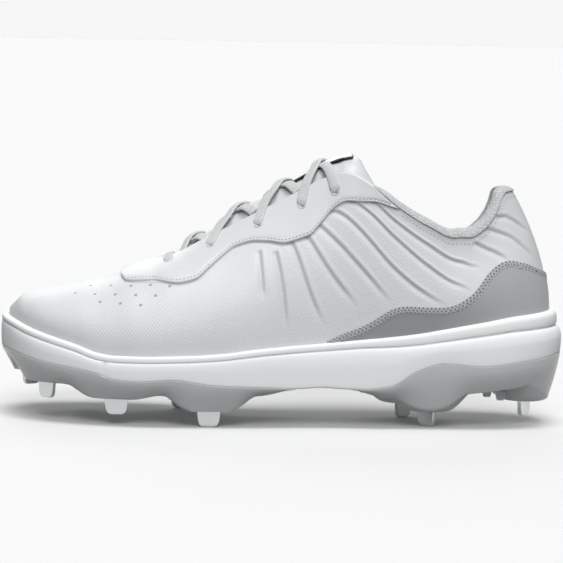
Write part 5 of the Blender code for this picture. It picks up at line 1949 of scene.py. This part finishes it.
def make_stitches():
    """Thread along the eyestay's lower edge and under the collar's."""
    thread = cached("thread_grey", plain_finish, toned(tuple(looks().leather), 0.72), 0.7, 2000.0, 0.00008)
    along, side, low = eyestay_line()
    span = (1 - low) * section_lengths(along, side)
    keep = span > 2.2 * STITCH_INSET
    share = low + (1 - low) * np.clip(STITCH_INSET / np.maximum(span, 1e-6), 0, 1)
    lines = [(along[keep], side[keep], share[keep])]
    half = heel_stations(COLLAR_STITCH_END, 30, 90, 0.02)
    along, side = two_sided(half[::-1], half)
    inset = edge_drop(along) + inner_drop(along, side) + COLLAR_STITCH_INSET
    lines.append((along, side, below_edge(along, side, [inset])[0]))
    for line, row in zip(lines, STITCH_ROWS):
        stitch_row(*line, *row, thread)


def make_eyelets():
    """Punched eyelets: a pressed ring round a dark hole at each station of the throat."""
    places = [(along, side, share_below_edge(along, side, EYELET_INSET + EYELET_DROP))
              for along in EYELETS for side in (1, -1)]
    points, facing, way = on_upper(*zip(*places), 1.30 * EYESTAY_THICK)
    radius = sizes().eyelet_radius
    rings = ((1.0, -0.5), (1.12, 0.0), (1.05, 0.16), (0.92, 0.2), (0.80, 0.12), (0.74, -0.1))
    ring_shape = small_shape("eyelet", rings, 24)
    finish = cached("eyelet_edge", plain_finish, toned(tuple(looks().leather), 0.93), 0.5)
    spread("eyelet_rings", points, facing, way, ring_shape, radius, 0.0, 1, finish, "eyestay_leather")
    dark = cached("hole_shadow", plain_finish, toned(tuple(looks().panel), 0.45), 0.9)
    hole = small_shape("eyelet_hole", ((0.72, -0.5), (0.78, 0.03), (0.5, 0.05), (0.2, 0.04)), 20)
    return spread("eyelet_holes", points, facing, way, hole, radius, 0.0, 1, dark, "eyestay_leather")


def make_stage():
    """Floor, a far wall, three suns, and the camera at the photo's angle."""
    settings = looks()
    turns = np.linspace(0, 2 * math.pi, STAGE_SIDES, endpoint=False)
    ring_points = [(STAGE_RADIUS * math.cos(t), STAGE_RADIUS * math.sin(t)) for t in turns]
    floor_finish = Finish("floor_white", 0.9, specular_ior_level=0.0)
    tone = tuple(settings.floor)
    floor_finish.colour(floor_finish.mix(floor_finish.noise(3.0) * 0.2, tone, toned(tone, 0.99)))
    wall_finish = Finish("backdrop_white", 0.9, specular_ior_level=0.0)
    wall_finish.colour((0.0, 0.0, 0.0))
    wall_finish.shader.inputs["Emission Color"].default_value = (*settings.floor, 1.0)
    wall_finish.shader.inputs["Emission Strength"].default_value = settings.backdrop
    floor_points = [(x, y, FLOOR_HEIGHT) for x, y in ring_points]
    wall_points = floor_points + [(x, y, WALL_HEIGHT) for x, y in ring_points]
    after = [(i + 1) % len(turns) for i in range(len(turns))]
    wall_faces = [(i, i + len(turns), j + len(turns), j) for i, j in enumerate(after)]
    for name, points, faces, finish in (
        ("floor", floor_points, [tuple(range(len(turns)))], floor_finish),
        ("backdrop", wall_points, wall_faces, wall_finish),
    ):
        mesh = bpy.data.meshes.new(name)
        mesh.from_pydata(points, [], faces)
        mesh.materials.append(finish.material)
        made = placed(name, mesh)
        made.visible_diffuse = False
        made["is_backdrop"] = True
    world = bpy.context.scene.world or bpy.data.worlds.new("studio")
    bpy.context.scene.world = world
    world.use_nodes = True
    sky = world.node_tree.nodes["Background"]
    sky.inputs["Color"].default_value = SKY_COLOUR
    sky.inputs["Strength"].default_value = settings.sky
    for name, way, spread_angle, power in LIGHTS:
        lamp = bpy.data.lights.new(name, "SUN")
        lamp.energy = power
        lamp.angle = math.radians(spread_angle)
        light = placed(name, lamp)
        light.rotation_euler = Vector(way).to_track_quat("Z", "Y").to_euler()
    tilt, roll = math.radians(settings.tilt), math.radians(settings.roll)
    back_way = Vector((0, math.cos(tilt), math.sin(tilt)))
    level, upright = Vector((-1, 0, 0)), Vector((0, -math.sin(tilt), math.cos(tilt)))
    right = level * math.cos(roll) + upright * math.sin(roll)
    up = upright * math.cos(roll) - level * math.sin(roll)
    data = bpy.data.cameras.new("photo_view")
    data.sensor_width = SENSOR_WIDTH
    data.lens = SENSOR_WIDTH * CAMERA_PIXELS / PHOTO_PIXELS
    data.clip_end = CLIP_END
    camera = placed("photo_view", data)
    turn = Matrix((right, up, back_way)).transposed()
    place = Vector((0, 0, CAMERA_AIM)) + back_way * CAMERA_DISTANCE
    camera.matrix_world = Matrix.Translation(place) @ turn.to_4x4()
    bpy.context.scene.camera = camera
    bpy.context.scene.view_settings.view_transform = "Standard"
    bpy.context.scene.view_settings.look = "None"


def colour_setting(name, description, default):
    return FloatVectorProperty(name=name, description=description, subtype="COLOR", default=default)


def size_setting(name, description, default):
    return FloatProperty(name=name, description=description, subtype="DISTANCE", default=default, min=0.0)


class CleatSizes(bpy.types.PropertyGroup):
    """Sizes of the fine parts."""

    lace_width: size_setting("Lace width", "Width of the flat lace", 0.0054)
    lace_thickness: size_setting("Lace thickness", "Thickness of the flat lace", 0.0019)
    vent_radius: size_setting("Vent radius", "Radius of a vent in the vamp", 0.00085)
    eyelet_radius: size_setting("Eyelet radius", "Radius of an eyelet's ring", 0.0023)
    rib_rise: size_setting("Rib rise", "Height of a pressed rib", 0.00050)
    rib_dip: size_setting("Rib dip", "Depth of the trough beside a rib", 0.00060)


class CleatLooks(bpy.types.PropertyGroup):
    """Colours and stage values of the cleat."""

    leather: colour_setting("Leather", "Colour of the upper's leather", (0.625, 0.645, 0.648))
    panel: colour_setting("Heel panel", "Colour of the grey heel panel", (0.305, 0.32, 0.32))
    lining: colour_setting("Lining", "Colour of the collar's knit", (0.58, 0.595, 0.60))
    foam: colour_setting("Foam", "Colour of the midsole", (0.93, 0.94, 0.945))
    plate: colour_setting("Plate", "Colour of the moulded plates", (0.52, 0.535, 0.54))
    steel: colour_setting("Steel", "Colour of the studs", (0.40, 0.405, 0.41))
    lace: colour_setting("Lace", "Colour of the lace", (0.70, 0.71, 0.715))
    black: colour_setting("Black", "Colour of the badge's border", (0.012, 0.012, 0.013))
    floor: colour_setting("Floor", "Colour of the floor", (0.755, 0.755, 0.755))
    sky: FloatProperty(name="Sky", description="Strength of the even light", default=0.24, min=0.0)
    backdrop: FloatProperty(name="Wall", description="Brightness of the wall behind", default=1.23, min=0.0)
    tilt: FloatProperty(name="Camera tilt", description="Degrees that the camera looks down", default=4.7)
    roll: FloatProperty(name="Camera roll", description="Degrees that the heel side sits low", default=1.07)


def operator(key, label, text, make):
    """An operator class that makes one piece or group of pieces."""

    def execute(self, context):
        make()
        return {"FINISHED"}

    values = {"bl_idname": "cleat." + key, "bl_label": label, "__doc__": text, "execute": execute}
    return type("CLEAT_OT_" + key, (bpy.types.Operator,), values)


STEPS = (
    ("stage", "Stage", "Floor, lights and camera", make_stage),
    ("upper", "Upper", "The hollow upper with its ribs and lining", make_upper),
    ("eyestay", "Eyestay", "The facing round the throat", make_eyestay),
    ("heel_panel", "Heel panel", "The grey panel and its strip", make_heel_panel),
    ("collar", "Collar", "The padded collar roll", make_collar),
    ("tongue", "Tongue", "The padded tongue", make_tongue),
    ("badge", "Badge", "The bare badge on the tongue", make_badge),
    ("lace", "Lace", "The flat lace", make_lace),
    ("insole", "Insole", "The sock inside", make_insole),
    ("midsole", "Midsole", "The foam cup", make_midsole),
    ("plates", "Plates", "The two moulded plates", make_plates),
    ("studs", "Studs", "The steel blades", make_studs),
    ("lugs", "Lugs", "The finish of the small lugs", make_lugs),
    ("vents", "Vents", "The vamp's punched holes", make_vents),
    ("stitches", "Stitches", "Rows of thread", make_stitches),
    ("eyelets", "Eyelets", "Eyelet rings and holes", make_eyelets),
)
OPERATORS = [operator(*step) for step in STEPS]


class CLEAT_PT_pieces(bpy.types.Panel):
    """Lists the cleat's sizes, its looks and its pieces."""

    bl_label = "Cleat"
    bl_idname = "CLEAT_PT_pieces"
    bl_space_type = "VIEW_3D"
    bl_region_type = "UI"
    bl_category = "Cleat"

    def draw(self, context):
        for group in (sizes(), looks()):
            for key in type(group).__annotations__:
                self.layout.prop(group, key)
        for made in OPERATORS:
            self.layout.operator(made.bl_idname)


def register():
    for made in (CleatSizes, CleatLooks, *OPERATORS, CLEAT_PT_pieces):
        bpy.utils.register_class(made)
    bpy.types.Scene.cleat_sizes = PointerProperty(type=CleatSizes)
    bpy.types.Scene.cleat_looks = PointerProperty(type=CleatLooks)


def unregister():
    del bpy.types.Scene.cleat_looks
    del bpy.types.Scene.cleat_sizes
    for made in (CLEAT_PT_pieces, *OPERATORS[::-1], CleatLooks, CleatSizes):
        bpy.utils.unregister_class(made)


def main():
    register()
    for key, _, _, _ in STEPS:
        getattr(bpy.ops.cleat, key)()
    boxes = {"cad": CAD_BOX, "visual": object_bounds()}
    boxes = {name: [list(map(float, corner)) for corner in box] for name, box in boxes.items()}


if __name__ == "__main__":
    main()
